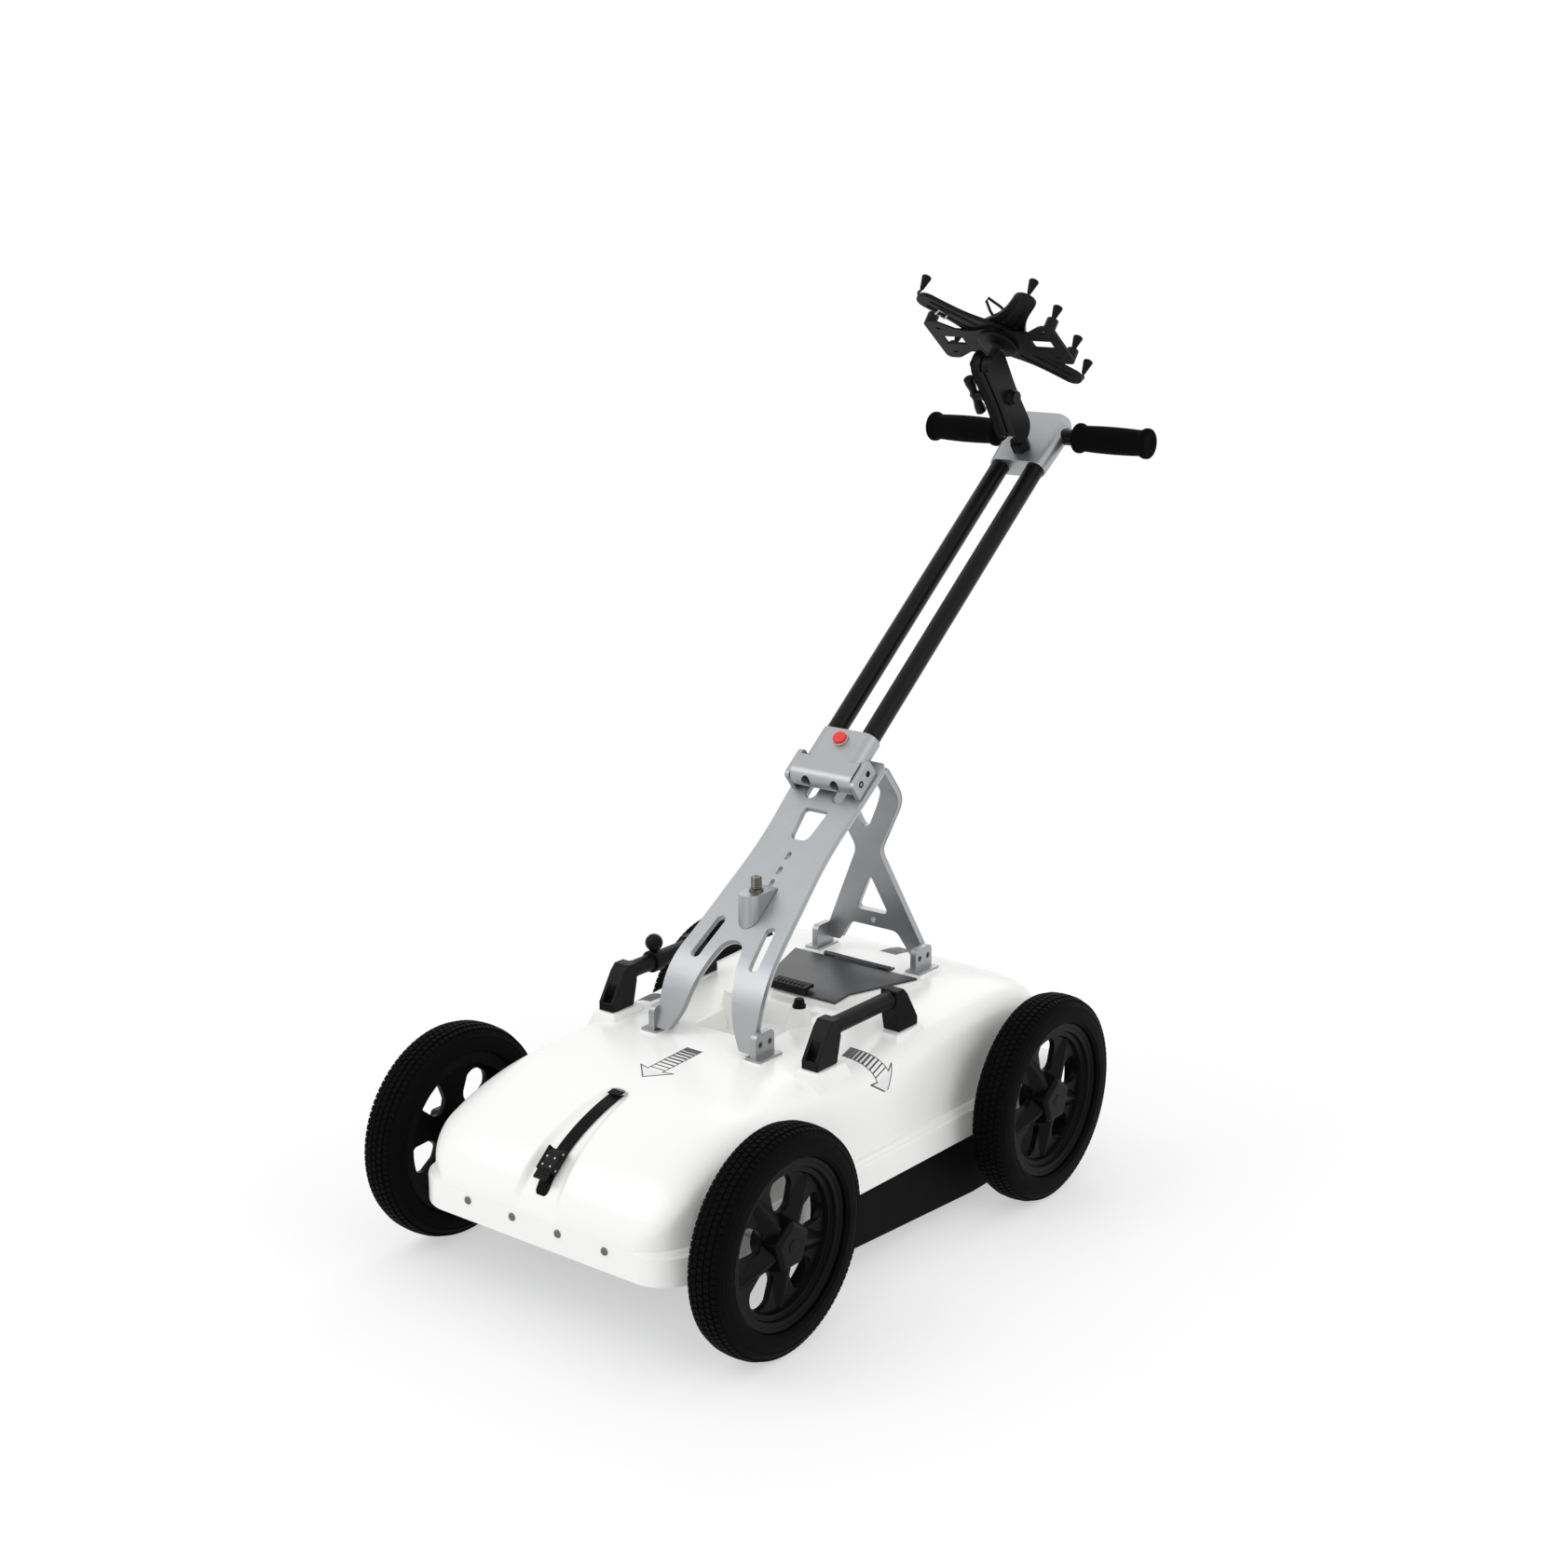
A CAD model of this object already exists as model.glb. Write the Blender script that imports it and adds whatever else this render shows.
"""Ground penetrating radar cart: the visible pieces, built round the packed frame.

Shapes are worked out in millimetres and scaled to metres when a piece is put in place.
Heights are over the ground, and places along the cart are from the point midway between the axles.
"""

import math
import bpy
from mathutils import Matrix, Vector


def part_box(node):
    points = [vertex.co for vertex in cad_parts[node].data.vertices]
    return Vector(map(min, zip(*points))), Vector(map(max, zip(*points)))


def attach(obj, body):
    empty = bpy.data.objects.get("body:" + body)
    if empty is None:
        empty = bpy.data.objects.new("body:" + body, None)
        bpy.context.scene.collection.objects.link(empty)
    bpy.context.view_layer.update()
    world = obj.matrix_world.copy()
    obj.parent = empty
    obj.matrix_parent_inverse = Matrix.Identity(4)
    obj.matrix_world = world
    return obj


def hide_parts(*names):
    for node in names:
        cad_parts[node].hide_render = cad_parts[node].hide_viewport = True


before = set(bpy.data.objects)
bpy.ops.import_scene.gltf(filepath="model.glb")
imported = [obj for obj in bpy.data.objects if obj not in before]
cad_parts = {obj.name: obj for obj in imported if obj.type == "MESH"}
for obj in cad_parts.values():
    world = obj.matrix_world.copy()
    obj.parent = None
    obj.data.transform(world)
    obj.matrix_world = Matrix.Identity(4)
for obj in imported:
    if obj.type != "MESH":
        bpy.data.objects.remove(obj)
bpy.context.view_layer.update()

from types import SimpleNamespace

import bmesh
import bpy
import numpy as np
from bpy.props import FloatProperty, FloatVectorProperty, IntProperty, PointerProperty
from mathutils import Matrix, Vector

bl_info = {
    "name": "Radar cart",
    "version": (1, 0, 0),
    "blender": (4, 5, 0),
    "location": "View3D > Sidebar > Radar cart",
    "description": "Builds the visible pieces of a ground penetrating radar cart round its packed frame",
    "category": "Object",
}

MM = 0.001


def middle(node):
    """The middle of a packed node's box, in millimetres."""
    low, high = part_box(node)
    return (low + high) / (2 * MM)


FRONT_AXLE = middle("tyre_front_left")
REAR_AXLE = middle("tyre_rear_left")
AXLES_MID = (FRONT_AXLE.y + REAR_AXLE.y) / 2


def at(x, y, z):
    """A point of the packed frame from its place along the cart, in millimetres."""
    return Vector((x, y + AXLES_MID, z))


def move(x, y, z):
    """A shift as a matrix."""
    return Matrix.Translation((x, y, z))


def turn(degrees, axis):
    """A turn about one axis as a matrix."""
    return Matrix.Rotation(math.radians(degrees), 4, axis)


# Local X across, Y along the handle's tubes, Z away from the front plate
TUBE_SLOPE = 38.82
HINGE_AT = (0, 204.6, 617.7)
TUBES = Matrix.Translation(at(*HINGE_AT)) @ turn(TUBE_SLOPE, "X")
# Local Z up the device arm from its lower ball, which stands over the tubes near their end
ARM_LEAN = 36.1
ARM_AT = 612
BALL_HIGH = 60
ARM_LONG = 120
ARM = TUBES @ move(0, ARM_AT, BALL_HIGH) @ turn(ARM_LEAN - TUBE_SLOPE, "X")
# Local Y down the cradle, Z out of it, from its middle over the arm's upper ball
CRADLE_LEAN = 37.9
CRADLE_HIGH = 44
CRADLE = ARM @ move(0, 0, ARM_LONG) @ turn(-CRADLE_LEAN - ARM_LEAN, "X") @ move(0, 0, CRADLE_HIGH)
# Local Z along the axle, out of the cart
WHEELS = {
    f"{end}_{side}": Matrix.Translation(middle(f"tyre_{end}_{side}")) @ turn(way, "Y")
    for end in ("front", "rear")
    for side, way in (("left", 90), ("right", -90))
}
HERE = Matrix.Translation((0, AXLES_MID, 0))
CART = Matrix.Identity(4)
SIDES = (("left", 1), ("right", -1))
# The axles' distance from the point midway between them, and their height
AXLE_AT = 296.7
AXLE_HIGH = 150
# The carry handles' place across, and their feet along the cart
CARRY_X = 179
CARRY_FEET = (-70, 108)
CARRY_BAR_HIGH = 332
# The foot brackets along the cart, with the heights that they stand on, and their screws
FEET = ((-82, 279), (291, 298))
FOOT_SCREW_AT = 10.25
FOOT_SCREW_HIGH = 20
# The bosses in the well, and the height of their tops
BOSS_AT = (58, 40)
BOSS_TOP = 306
# The rubber tips' feet over the cradle's middle
TIP_FOOT = 15
# Screws in the back of the cradle's round plate
DISC_SCREWS = ((-14, -19), (14, -19), (-14, 19), (14, 19))
# The photograph's camera: where it stands, and its turns about X, Y and Z in degrees
CAMERA_AT = (1904.4, -2373.5, 1441.8)
CAMERA_TURNS = (74.9683, -0.0597, 37.8357)
# Softboxes: name, place and width in metres, power in watts
LAMPS = (
    ("key_softbox", (-1.6, -2.6, 3.2), 2.6, 38),
    ("side_softbox", (3.0, -0.4, 2.0), 2.0, 15),
    ("back_softbox", (-1.2, 2.8, 2.6), 2.2, 18),
)
LAMPS_AIM = (0, 0, 0.35)


def linear(hex_colour):
    """An sRGB hex colour as linear red, green and blue."""
    parts = [int(hex_colour[i : i + 2], 16) / 255 for i in (1, 3, 5)]
    return tuple(p / 12.92 if p <= 0.04045 else ((p + 0.055) / 1.055) ** 2.4 for p in parts)


def length(name, description, size):
    """A length property whose default is given in millimetres."""
    return FloatProperty(name=name, description=description, default=size * MM, unit="LENGTH", precision=4)


def share(name, description, value):
    """A property from 0 to 1."""
    return FloatProperty(name=name, description=description, default=value, min=0, max=1, subtype="FACTOR")


def colour(name, description, hex_colour):
    """A colour property whose default is given as sRGB hex."""
    return FloatVectorProperty(
        name=name, description=description, default=linear(hex_colour), min=0, max=1, subtype="COLOR"
    )


class CoverSettings(bpy.types.PropertyGroup):
    """The moulded cover."""

    front: length("Front", "How far the cover reaches forward of the axles' middle", 433)
    rear: length("Rear", "How far the cover reaches rearward of the axles' middle", 460)
    front_half: length("Front half width", "Half the width of the skirt at the front", 226)
    rear_half: length("Rear half width", "Half the width of the skirt at the rear", 252)
    skirt_low: length("Skirt edge", "Height of the skirt's lower edge", 110)
    ledge_high: length("Ledge", "Height of the ledge on top of the skirt", 150)
    ledge_w: length("Ledge width", "Width of the ledge along the sides", 12)
    skirt_r: length("Skirt corner", "Corner radius of the skirt", 58)
    nose_r: length("Nose corner", "Corner radius of the body at the front", 64)
    tail_r: length("Tail corner", "Corner radius of the body at the rear", 118)
    nose: length("Nose", "Where the nose starts to slope, along the cart", -225)
    tail: length("Tail", "Where the tail starts to slope, along the cart", 250)
    crown_front: length("Front crown", "Height of the cover where the nose starts to slope", 272)
    crown_rear: length("Rear crown", "Height of the cover where the tail starts to slope", 292)
    channel_deep: length("Channel depth", "Depth of the strap channel", 8)
    channel_soft: length("Channel edge", "Width of the soft edge along the strap channel", 7)
    roundness: FloatProperty(
        name="Roundness", description="Power of the cross-section's curve", default=6.5, min=2, max=9
    )


class WheelSettings(bpy.types.PropertyGroup):
    """The four tyres and rims."""

    tyre_d: length("Tyre diameter", "Outside diameter of a tyre", 300)
    tread_deep: length("Tread depth", "Depth of the grooves between the tread blocks", 1.7)
    rim_d: length("Rim diameter", "Diameter over the rim's flanges", 223)
    rim_w: length("Rim width", "Width over the rim's flanges", 42)
    blocks: IntProperty(name="Blocks", description="Tread blocks in one row", default=104, min=30, max=120)
    spokes: IntProperty(name="Spokes", description="Arms of the rim's star", default=5, min=3, max=8)


class FrameSettings(bpy.types.PropertyGroup):
    """The aluminium frame and the small parts on it."""

    edge: length("Edge break", "Rounding of the aluminium plates' edges", 1.1)
    screw_d: length("Screw head", "Diameter of a socket screw's head", 8.5)
    rivet_d: length("Skirt screw head", "Diameter of the domed heads on the skirt", 11)


class HandleSettings(bpy.types.PropertyGroup):
    """The folding handle and its grips."""

    tube_d: length("Tube diameter", "Diameter of the two tubes", 28.4)
    tube_x: length("Tube place", "Distance of each tube from the middle", 31)
    tube_from: length("Tube start", "Lower end of the tubes, along the tubes", 8)
    tube_to: length("Tube end", "Upper end of the tubes, along the tubes", 620)
    bar_at: length("Bar place", "Place of the cross bar, along the tubes", 658)
    bar_d: length("Bar diameter", "Diameter of the cross bar", 25)
    grip_from: length("Grip start", "Inner end of each grip from the middle", 70)
    grip_to: length("Grip end", "Outer end of each grip from the middle", 196)
    grip_d: length("Grip diameter", "Diameter of a grip", 40)
    flange_d: length("Grip flange", "Diameter of a grip's ends", 46)


class CradleSettings(bpy.types.PropertyGroup):
    """The tablet cradle on its ball arm."""

    tip_x: length("Corner tips across", "Distance of the corner tips from the middle, across", 93)
    tip_u: length("Corner tips along", "Distance of the corner tips from the middle, along", 101)
    side_x: length("Side tips across", "Distance of the side tips from the middle, across", 104)
    side_u: length("Side tips along", "Distance of the side tips from the middle, along", 37.6)
    tip_h: length("Tip height", "Length of a rubber tip", 23)
    ball_r: length("Ball radius", "Radius of the two balls of the device arm", 14.2)
    arm_w0: length("Arm at the pivot", "Half the width of a crossed arm at its pivot", 37)
    arm_w1: length("Arm at its end", "Half the width of a crossed arm along its reach", 17)


class FinishSettings(bpy.types.PropertyGroup):
    """Colours of the finishes."""

    cover: colour("Cover", "Glossy white ABS", "#f3f3f1")
    aluminium: colour("Aluminium", "Bead-blasted anodised aluminium", "#a8aaac")
    steel: colour("Steel", "Stainless steel", "#b4b2ae")
    screw: colour("Screws", "Passivated screw steel", "#6f6b65")
    black: colour("Black nylon", "Glass-filled nylon", "#0d0d0e")
    rim: colour("Rim", "Moulded black polypropylene", "#080809")
    tyre: colour("Tyre", "Black tyre rubber", "#060606")
    rubber: colour("Rubber", "Black moulded rubber", "#0b0b0c")
    tube: colour("Tube", "Black powder coat", "#09090a")
    foam: colour("Foam", "Closed-cell foam", "#080809")
    sheet: colour("Lid", "Satin charcoal sheet", "#26282c")
    red: colour("Button", "Red acetal", "#e0322b")
    skid: colour("Skid", "Black polyethylene", "#060607")
    housing: colour("Housing", "Dark grey housing", "#3a3d42")
    ink: colour("Markings", "Grey ink on clear film", "#3e4043")
    film: colour("Marking fill", "Pale filled film", "#e4e5e6")


class StageSettings(bpy.types.PropertyGroup):
    """Floor, light and camera."""

    floor: colour("Floor", "Colour of the floor", "#fbfbfb")
    lens: FloatProperty(
        name="Lens", description="Focal length in millimetres", default=53.54, min=10, max=200
    )
    sky: share("Sky", "Light from all round", 0.84)
    glow: share("Floor glow", "Share of the floor that the camera sees as plain white", 0.5)


GROUPS = {
    "cart_cover": CoverSettings,
    "cart_wheels": WheelSettings,
    "cart_frame": FrameSettings,
    "cart_handle": HandleSettings,
    "cart_cradle": CradleSettings,
    "cart_finish": FinishSettings,
    "cart_stage": StageSettings,
}


def sizes(group):
    """A settings group's values, with its lengths in millimetres."""
    values = {}
    for key, prop in group.bl_rna.properties.items():
        if key not in ("rna_type", "name"):
            value = getattr(group, key)
            values[key] = value / MM if getattr(prop, "unit", "") == "LENGTH" else value
    return SimpleNamespace(**values)


def node(tree, kind, inputs=None, **settings):
    """Adds a node, sets its settings, and links or sets its inputs by name or number."""
    made = tree.nodes.new(kind)
    for key, value in settings.items():
        setattr(made, key, value)
    for key, value in (inputs or {}).items():
        if isinstance(value, bpy.types.NodeSocket):
            tree.links.new(value, made.inputs[key])
        else:
            made.inputs[key].default_value = value
    return made


def shader(name, tint, roughness, metallic=0.0, **sockets):
    """A new material with one Principled shader, its tree and the object's own coordinates."""
    made = bpy.data.materials.new(name)
    made.use_nodes = True
    tree = made.node_tree
    surface = tree.nodes["Principled BSDF"]
    surface.inputs["Base Color"].default_value = (*tint, 1)
    surface.inputs["Roughness"].default_value = roughness
    surface.inputs["Metallic"].default_value = metallic
    for key, value in sockets.items():
        surface.inputs[key.replace("_", " ")].default_value = value
    coords = node(tree, "ShaderNodeTexCoord").outputs["Object"]
    return made, tree, surface, coords


def noise(tree, coords, span, detail, roughness=0.5):
    """A noise pattern whose patches are span millimetres wide."""
    inputs = {"Vector": coords, "Scale": 1 / (span * MM), "Detail": detail, "Roughness": roughness}
    return node(tree, "ShaderNodeTexNoise", inputs)


def drift(tree, surface, coords, tint, span, depth, gloss):
    """Lets tone and gloss drift over patches span millimetres wide, by shares depth and gloss."""
    patches = noise(tree, coords, span, 4.0, 0.6)
    shades = [(*(min(1, c * (1 + s * depth)) for c in tint), 1) for s in (-1, 1)]
    blend = node(
        tree, "ShaderNodeMix", {0: patches.outputs["Fac"], 6: shades[0], 7: shades[1]}, data_type="RGBA"
    )
    tree.links.new(blend.outputs[2], surface.inputs["Base Color"])
    middle_gloss = surface.inputs["Roughness"].default_value
    sheen = node(
        tree,
        "ShaderNodeMapRange",
        {"Value": patches.outputs["Fac"], "To Min": middle_gloss - gloss, "To Max": middle_gloss + gloss},
    )
    tree.links.new(sheen.outputs["Result"], surface.inputs["Roughness"])
    return patches


def relief(tree, surface, height, deep, strength):
    """Raises the surface by a height pattern, deep millimetres from low to high."""
    bump = node(tree, "ShaderNodeBump", {"Height": height, "Distance": deep * MM, "Strength": strength})
    tree.links.new(bump.outputs["Normal"], surface.inputs["Normal"])


def moulded(name, tint, roughness, grain, deep, **sockets):
    """Moulded plastic: an even tone with the mould's fine spark-eroded grain."""
    made, tree, surface, coords = shader(name, tint, roughness, **sockets)
    drift(tree, surface, coords, tint, 60, 0.07, 0.05)
    fine = noise(tree, coords, grain, 2.0)
    relief(tree, surface, fine.outputs["Fac"], deep, 0.5)
    return made


def glossy_abs(tint):
    """Glossy moulded ABS: a clear, slightly rippled reflection and handling dulled in wide patches."""
    made, tree, surface, coords = shader("Glossy_white_ABS", tint, 0.24, IOR=1.53)
    drift(tree, surface, coords, tint, 140, 0.012, 0.05)
    # The mould's ripple is about 9 mm from crest to crest
    ripple = noise(tree, coords, 9, 1.0)
    relief(tree, surface, ripple.outputs["Fac"], 0.05, 0.35)
    return made


def blasted_aluminium(name, tint, roughness):
    """Bead-blasted, anodised aluminium: an even silver sheen made of fine pits."""
    made, tree, surface, coords = shader(name, tint, roughness, 1.0)
    drift(tree, surface, coords, tint, 35, 0.05, 0.05)
    # Pits of a tenth of a millimetre don't show, so they are drawn 0.7 mm wide
    pits = noise(tree, coords, 0.7, 3.0)
    relief(tree, surface, pits.outputs["Fac"], 0.05, 0.5)
    return made


def turned_steel(name, tint):
    """Stainless steel: fine turning marks and a clear reflection."""
    made, tree, surface, coords = shader(name, tint, 0.28, 1.0)
    drift(tree, surface, coords, tint, 12, 0.08, 0.06)
    stretched = node(tree, "ShaderNodeMapping", {"Vector": coords, "Scale": (1.0, 1.0, 6.0)})
    marks = noise(tree, stretched.outputs["Vector"], 1.2, 3.0)
    relief(tree, surface, marks.outputs["Fac"], 0.03, 0.4)
    return made


def tyre_rubber(tint):
    """Tyre rubber: matt black, with grey dust in soft patches and a fine skin."""
    made, tree, surface, coords = shader("Tyre_rubber", tint, 0.62, Specular_IOR_Level=0.04)
    drift(tree, surface, coords, tint, 25, 0.25, 0.08)
    skin_grain = noise(tree, coords, 1.6, 4.0)
    relief(tree, surface, skin_grain.outputs["Fac"], 0.18, 0.5)
    return made


def foam_rubber(tint):
    """Closed-cell foam: a dull, velvety black full of small open cells."""
    made, tree, surface, coords = shader("Closed_cell_foam", tint, 0.92, Specular_IOR_Level=0.05)
    drift(tree, surface, coords, tint, 18, 0.2, 0.04)
    # Cells of half a millimetre don't show, so they are drawn 1.3 mm wide
    cells = node(tree, "ShaderNodeTexVoronoi", {"Vector": coords, "Scale": 1 / (1.3 * MM)})
    relief(tree, surface, cells.outputs["Distance"], 0.35, 0.6)
    return made


def powder_coat(tint):
    """Black powder coat: a satin skin with a faint orange peel."""
    made, tree, surface, coords = shader("Black_powder_coat", tint, 0.3, Specular_IOR_Level=0.16)
    drift(tree, surface, coords, tint, 50, 0.12, 0.05)
    peel = noise(tree, coords, 2.2, 2.0)
    relief(tree, surface, peel.outputs["Fac"], 0.06, 0.4)
    return made


def scuffed_polyethylene(tint):
    """Skid sheet: matt black polyethylene, combed along the cart by the ground."""
    made, tree, surface, coords = shader("Scuffed_polyethylene", tint, 0.5, Specular_IOR_Level=0.04)
    drift(tree, surface, coords, tint, 80, 0.15, 0.06)
    # Scratches 1.5 mm wide and some 60 mm long, along the cart
    combed = node(tree, "ShaderNodeMapping", {"Vector": coords, "Scale": (1.0, 0.025, 1.0)})
    scratches = noise(tree, combed.outputs["Vector"], 1.5, 5.0)
    relief(tree, surface, scratches.outputs["Fac"], 0.2, 0.5)
    return made


FINISH = {}


def make_finishes(context):
    """Makes every finish once, from the colours in the settings."""
    f = sizes(context.scene.cart_finish)
    t = {key: tuple(value) for key, value in vars(f).items()}
    FINISH.update(
        cover=glossy_abs(t["cover"]),
        aluminium=blasted_aluminium("Blasted_anodised_aluminium", t["aluminium"], 0.40),
        steel=turned_steel("Turned_stainless_steel", t["steel"]),
        screw=turned_steel("Passivated_screw_steel", t["screw"]),
        black=moulded("Glass_filled_nylon", t["black"], 0.42, 1.1, 0.06, Specular_IOR_Level=0.13),
        rim=moulded("Moulded_polypropylene", t["rim"], 0.38, 1.4, 0.05, Specular_IOR_Level=0.07),
        tyre=tyre_rubber(t["tyre"]),
        rubber=moulded("Moulded_black_rubber", t["rubber"], 0.55, 0.9, 0.08, Specular_IOR_Level=0.1),
        tube=powder_coat(t["tube"]),
        foam=foam_rubber(t["foam"]),
        sheet=moulded("Satin_charcoal_sheet", t["sheet"], 0.38, 0.8, 0.03),
        red=moulded("Red_acetal", t["red"], 0.30, 1.5, 0.02, IOR=1.48),
        skid=scuffed_polyethylene(t["skid"]),
        housing=moulded("Grey_polycarbonate_housing", t["housing"], 0.5, 1.0, 0.05),
        ink=moulded("Grey_ink_on_film", t["ink"], 0.45, 0.8, 0.01),
        film=moulded("Pale_film", t["film"], 0.40, 0.8, 0.01),
    )


def polygon(r, sides, start=0.0):
    """The corners of a regular polygon about the origin, the first one at start degrees."""
    turns = [math.radians(start) + 2 * math.pi * k / sides for k in range(sides)]
    return [(r * math.cos(a), r * math.sin(a)) for a in turns]


def skin(rings, loop=False):
    """A closed surface through rings of points.

    A ring of one point is a pole. The end rings are capped, or joined to each other by loop.
    """
    bm = bmesh.new()
    made = [[bm.verts.new(p) for p in ring] for ring in rings]
    pairs = list(zip(made, made[1:]))
    if loop:
        pairs.append((made[-1], made[0]))
    for a, b in pairs:
        n = max(len(a), len(b))
        for i in range(n):
            j = (i + 1) % n
            corners = [a[i % len(a)], a[j % len(a)], b[j % len(b)], b[i % len(b)]]
            face = list(dict.fromkeys(corners))
            if len(face) > 2:
                bm.faces.new(face)
    if not loop:
        for ring in (made[0], made[-1]):
            if len(ring) > 2:
                bm.faces.new(ring)
    bmesh.ops.recalc_face_normals(bm, faces=bm.faces)
    return bm


def lathe(profile, sides=72, hollow=False):
    """A solid turned about local Z from (radius, height) points, the last joined to the first if hollow."""
    rings = []
    for r, z in profile:
        ring = polygon(r, sides) if r > 0 else [(0, 0)]
        rings.append([(x, y, z) for x, y in ring])
    return skin(rings, loop=hollow)


def ball(r, z, steps=33):
    """A ball of radius r at local height z, as a lathe's profile."""
    return [(r * math.sin(a), z - r * math.cos(a)) for a in np.linspace(0, math.pi, steps)]


def ridge(foot, crest):
    """A ridge with sloping flanks from its foot to its crest, each (half across, half along, height)."""
    return skin([[(-x, -y, z), (x, -y, z), (x, y, z), (-x, y, z)] for x, y, z in (foot, crest)])


def fillet(points, r, steps=4):
    """A profile of (radius, height) points, each inner corner rounded by r or by its own third value."""
    out = [points[0][:2]]
    for before, here, after in zip(points, points[1:], points[2:]):
        size = here[2] if len(here) > 2 else r
        p, a, b = (Vector(v[:2]) for v in (here, before, after))
        u, v = (a - p), (b - p)
        size = min(size, u.length * 0.49, v.length * 0.49)
        if size < 1e-4:
            out.append(tuple(p))
            continue
        p0, p1 = p + u.normalized() * size, p + v.normalized() * size
        for k in range(steps + 1):
            s = k / steps
            out.append(tuple(p0 * (1 - s) ** 2 + p * 2 * s * (1 - s) + p1 * s**2))
    out.append(points[-1][:2])
    return out


def prism(outline, low, high):
    """A flat outline of (x, y) points, given a thickness from low to high."""
    return skin([[(x, y, low) for x, y in outline], [(x, y, high) for x, y in outline]])


def rounded_corners(points, r, steps=5):
    """A closed outline with its corners rounded by r, or by each point's own third value."""
    n = len(points)
    out = []
    for i in range(n):
        out += fillet([points[i - 1], points[i], points[(i + 1) % n]], r, steps)[1:-1]
    return out


def ease(bm, width, steps=2, angle=28):
    """Rounds every edge of a solid that is sharper than angle degrees."""
    bmesh.ops.dissolve_limit(bm, angle_limit=math.radians(0.5), verts=bm.verts, edges=bm.edges)
    sharp = [e for e in bm.edges if len(e.link_faces) == 2 and e.calc_face_angle(0) > math.radians(angle)]
    bmesh.ops.bevel(
        bm,
        geom=sharp,
        offset=width,
        offset_type="OFFSET",
        segments=steps,
        profile=0.5,
        affect="EDGES",
        clamp_overlap=False,
    )
    return bm


def copy_of(name):
    """A packed node's shape in millimetres, welded."""
    bm = bmesh.new()
    bm.from_mesh(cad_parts[name].data)
    bm.transform(Matrix.Scale(1 / MM, 4))
    bmesh.ops.remove_doubles(bm, verts=bm.verts, dist=1e-3)
    return bm


def merged(*parts):
    """Several shapes, each (shape, matrix) or a shape alone, as one."""
    whole = bmesh.new()
    for part in parts:
        bm, matrix = part if isinstance(part, tuple) else (part, CART)
        bm.transform(matrix)
        mesh = bpy.data.meshes.new("part")
        bm.to_mesh(mesh)
        bm.free()
        whole.from_mesh(mesh)
        bpy.data.meshes.remove(mesh)
    return whole


def plain(obj):
    """Turns an object's evaluated shape into its own plain mesh, with no modifiers left."""
    graph = bpy.context.evaluated_depsgraph_get()
    mesh = bpy.data.meshes.new_from_object(obj.evaluated_get(graph), depsgraph=graph)
    obj.modifiers.clear()
    old = obj.data
    obj.data = mesh
    bpy.data.meshes.remove(old)
    mesh.name = obj.name
    return obj


def put(name, bm, finish, body, matrix=CART, replaces=(), angle=32, weigh=True):
    """Makes a shape in millimetres a finished piece that rides on a body."""
    bm.transform(Matrix.Scale(MM, 4) @ matrix)
    mesh = bpy.data.meshes.new(name)
    bm.to_mesh(mesh)
    bm.free()
    return place(name, mesh, finish, body, replaces, angle, weigh)


def place(name, mesh, finish, body, replaces=(), angle=32, weigh=True):
    """Makes a mesh that is already in the cart's frame a finished piece that rides on a body."""
    obj = bpy.data.objects.new(name, mesh)
    bpy.context.scene.collection.objects.link(obj)
    mesh.materials.clear()
    mesh.materials.append(FINISH[finish])
    mesh.polygons.foreach_set("use_smooth", [True] * len(mesh.polygons))
    mesh.set_sharp_from_angle(angle=math.radians(angle))
    if weigh:
        soft = obj.modifiers.new("Weighted normals", "WEIGHTED_NORMAL")
        soft.keep_sharp = True
        plain(obj)
    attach(obj, body)
    if replaces:
        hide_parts(*replaces)
    return obj


def put_eased(name, finish, body, width, steps=2, angle=28):
    """Puts a packed node's own shape in its place with its edges rounded."""
    put(f"{name}_eased", ease(copy_of(name), width, steps, angle), finish, body, CART, (name,))


def dress(finish, *nodes):
    """Gives packed nodes that stay in sight a finish."""
    for name in nodes:
        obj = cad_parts[name]
        if obj.material_slots:
            obj.material_slots[0].material = FINISH[finish]
        else:
            obj.data.materials.append(FINISH[finish])


def tree_of(name, **sockets):
    """A new node group with a geometry output, a geometry input and the named inputs."""
    tree = bpy.data.node_groups.new(name, "GeometryNodeTree")
    tree.interface.new_socket("Geometry", in_out="OUTPUT", socket_type="NodeSocketGeometry")
    tree.interface.new_socket("Geometry", in_out="INPUT", socket_type="NodeSocketGeometry")
    for key, kind in sockets.items():
        tree.interface.new_socket(key, in_out="INPUT", socket_type=kind)
    return tree, tree.nodes.new("NodeGroupInput"), tree.nodes.new("NodeGroupOutput")


def grown(carrier, tree, **values):
    """Runs a node group on a carrier mesh with its inputs set, and gives the result as a plain mesh."""
    obj = bpy.data.objects.new("carrier", carrier)
    bpy.context.scene.collection.objects.link(obj)
    modifier = obj.modifiers.new("Grow", "NODES")
    modifier.node_group = tree
    known = {s.name: s.identifier for s in tree.interface.items_tree if s.in_out == "INPUT"}
    for key, value in values.items():
        modifier[known[key]] = value
    plain(obj)
    mesh = obj.data
    bpy.data.objects.remove(obj)
    return mesh


def template(bm):
    """A shape in millimetres as an object that a node group repeats."""
    bm.transform(Matrix.Scale(MM, 4))
    mesh = bpy.data.meshes.new("template")
    bm.to_mesh(mesh)
    bm.free()
    mesh.polygons.foreach_set("use_smooth", [True] * len(mesh.polygons))
    mesh.set_sharp_from_angle(angle=math.radians(30))
    obj = bpy.data.objects.new("template", mesh)
    bpy.context.scene.collection.objects.link(obj)
    return obj


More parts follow.
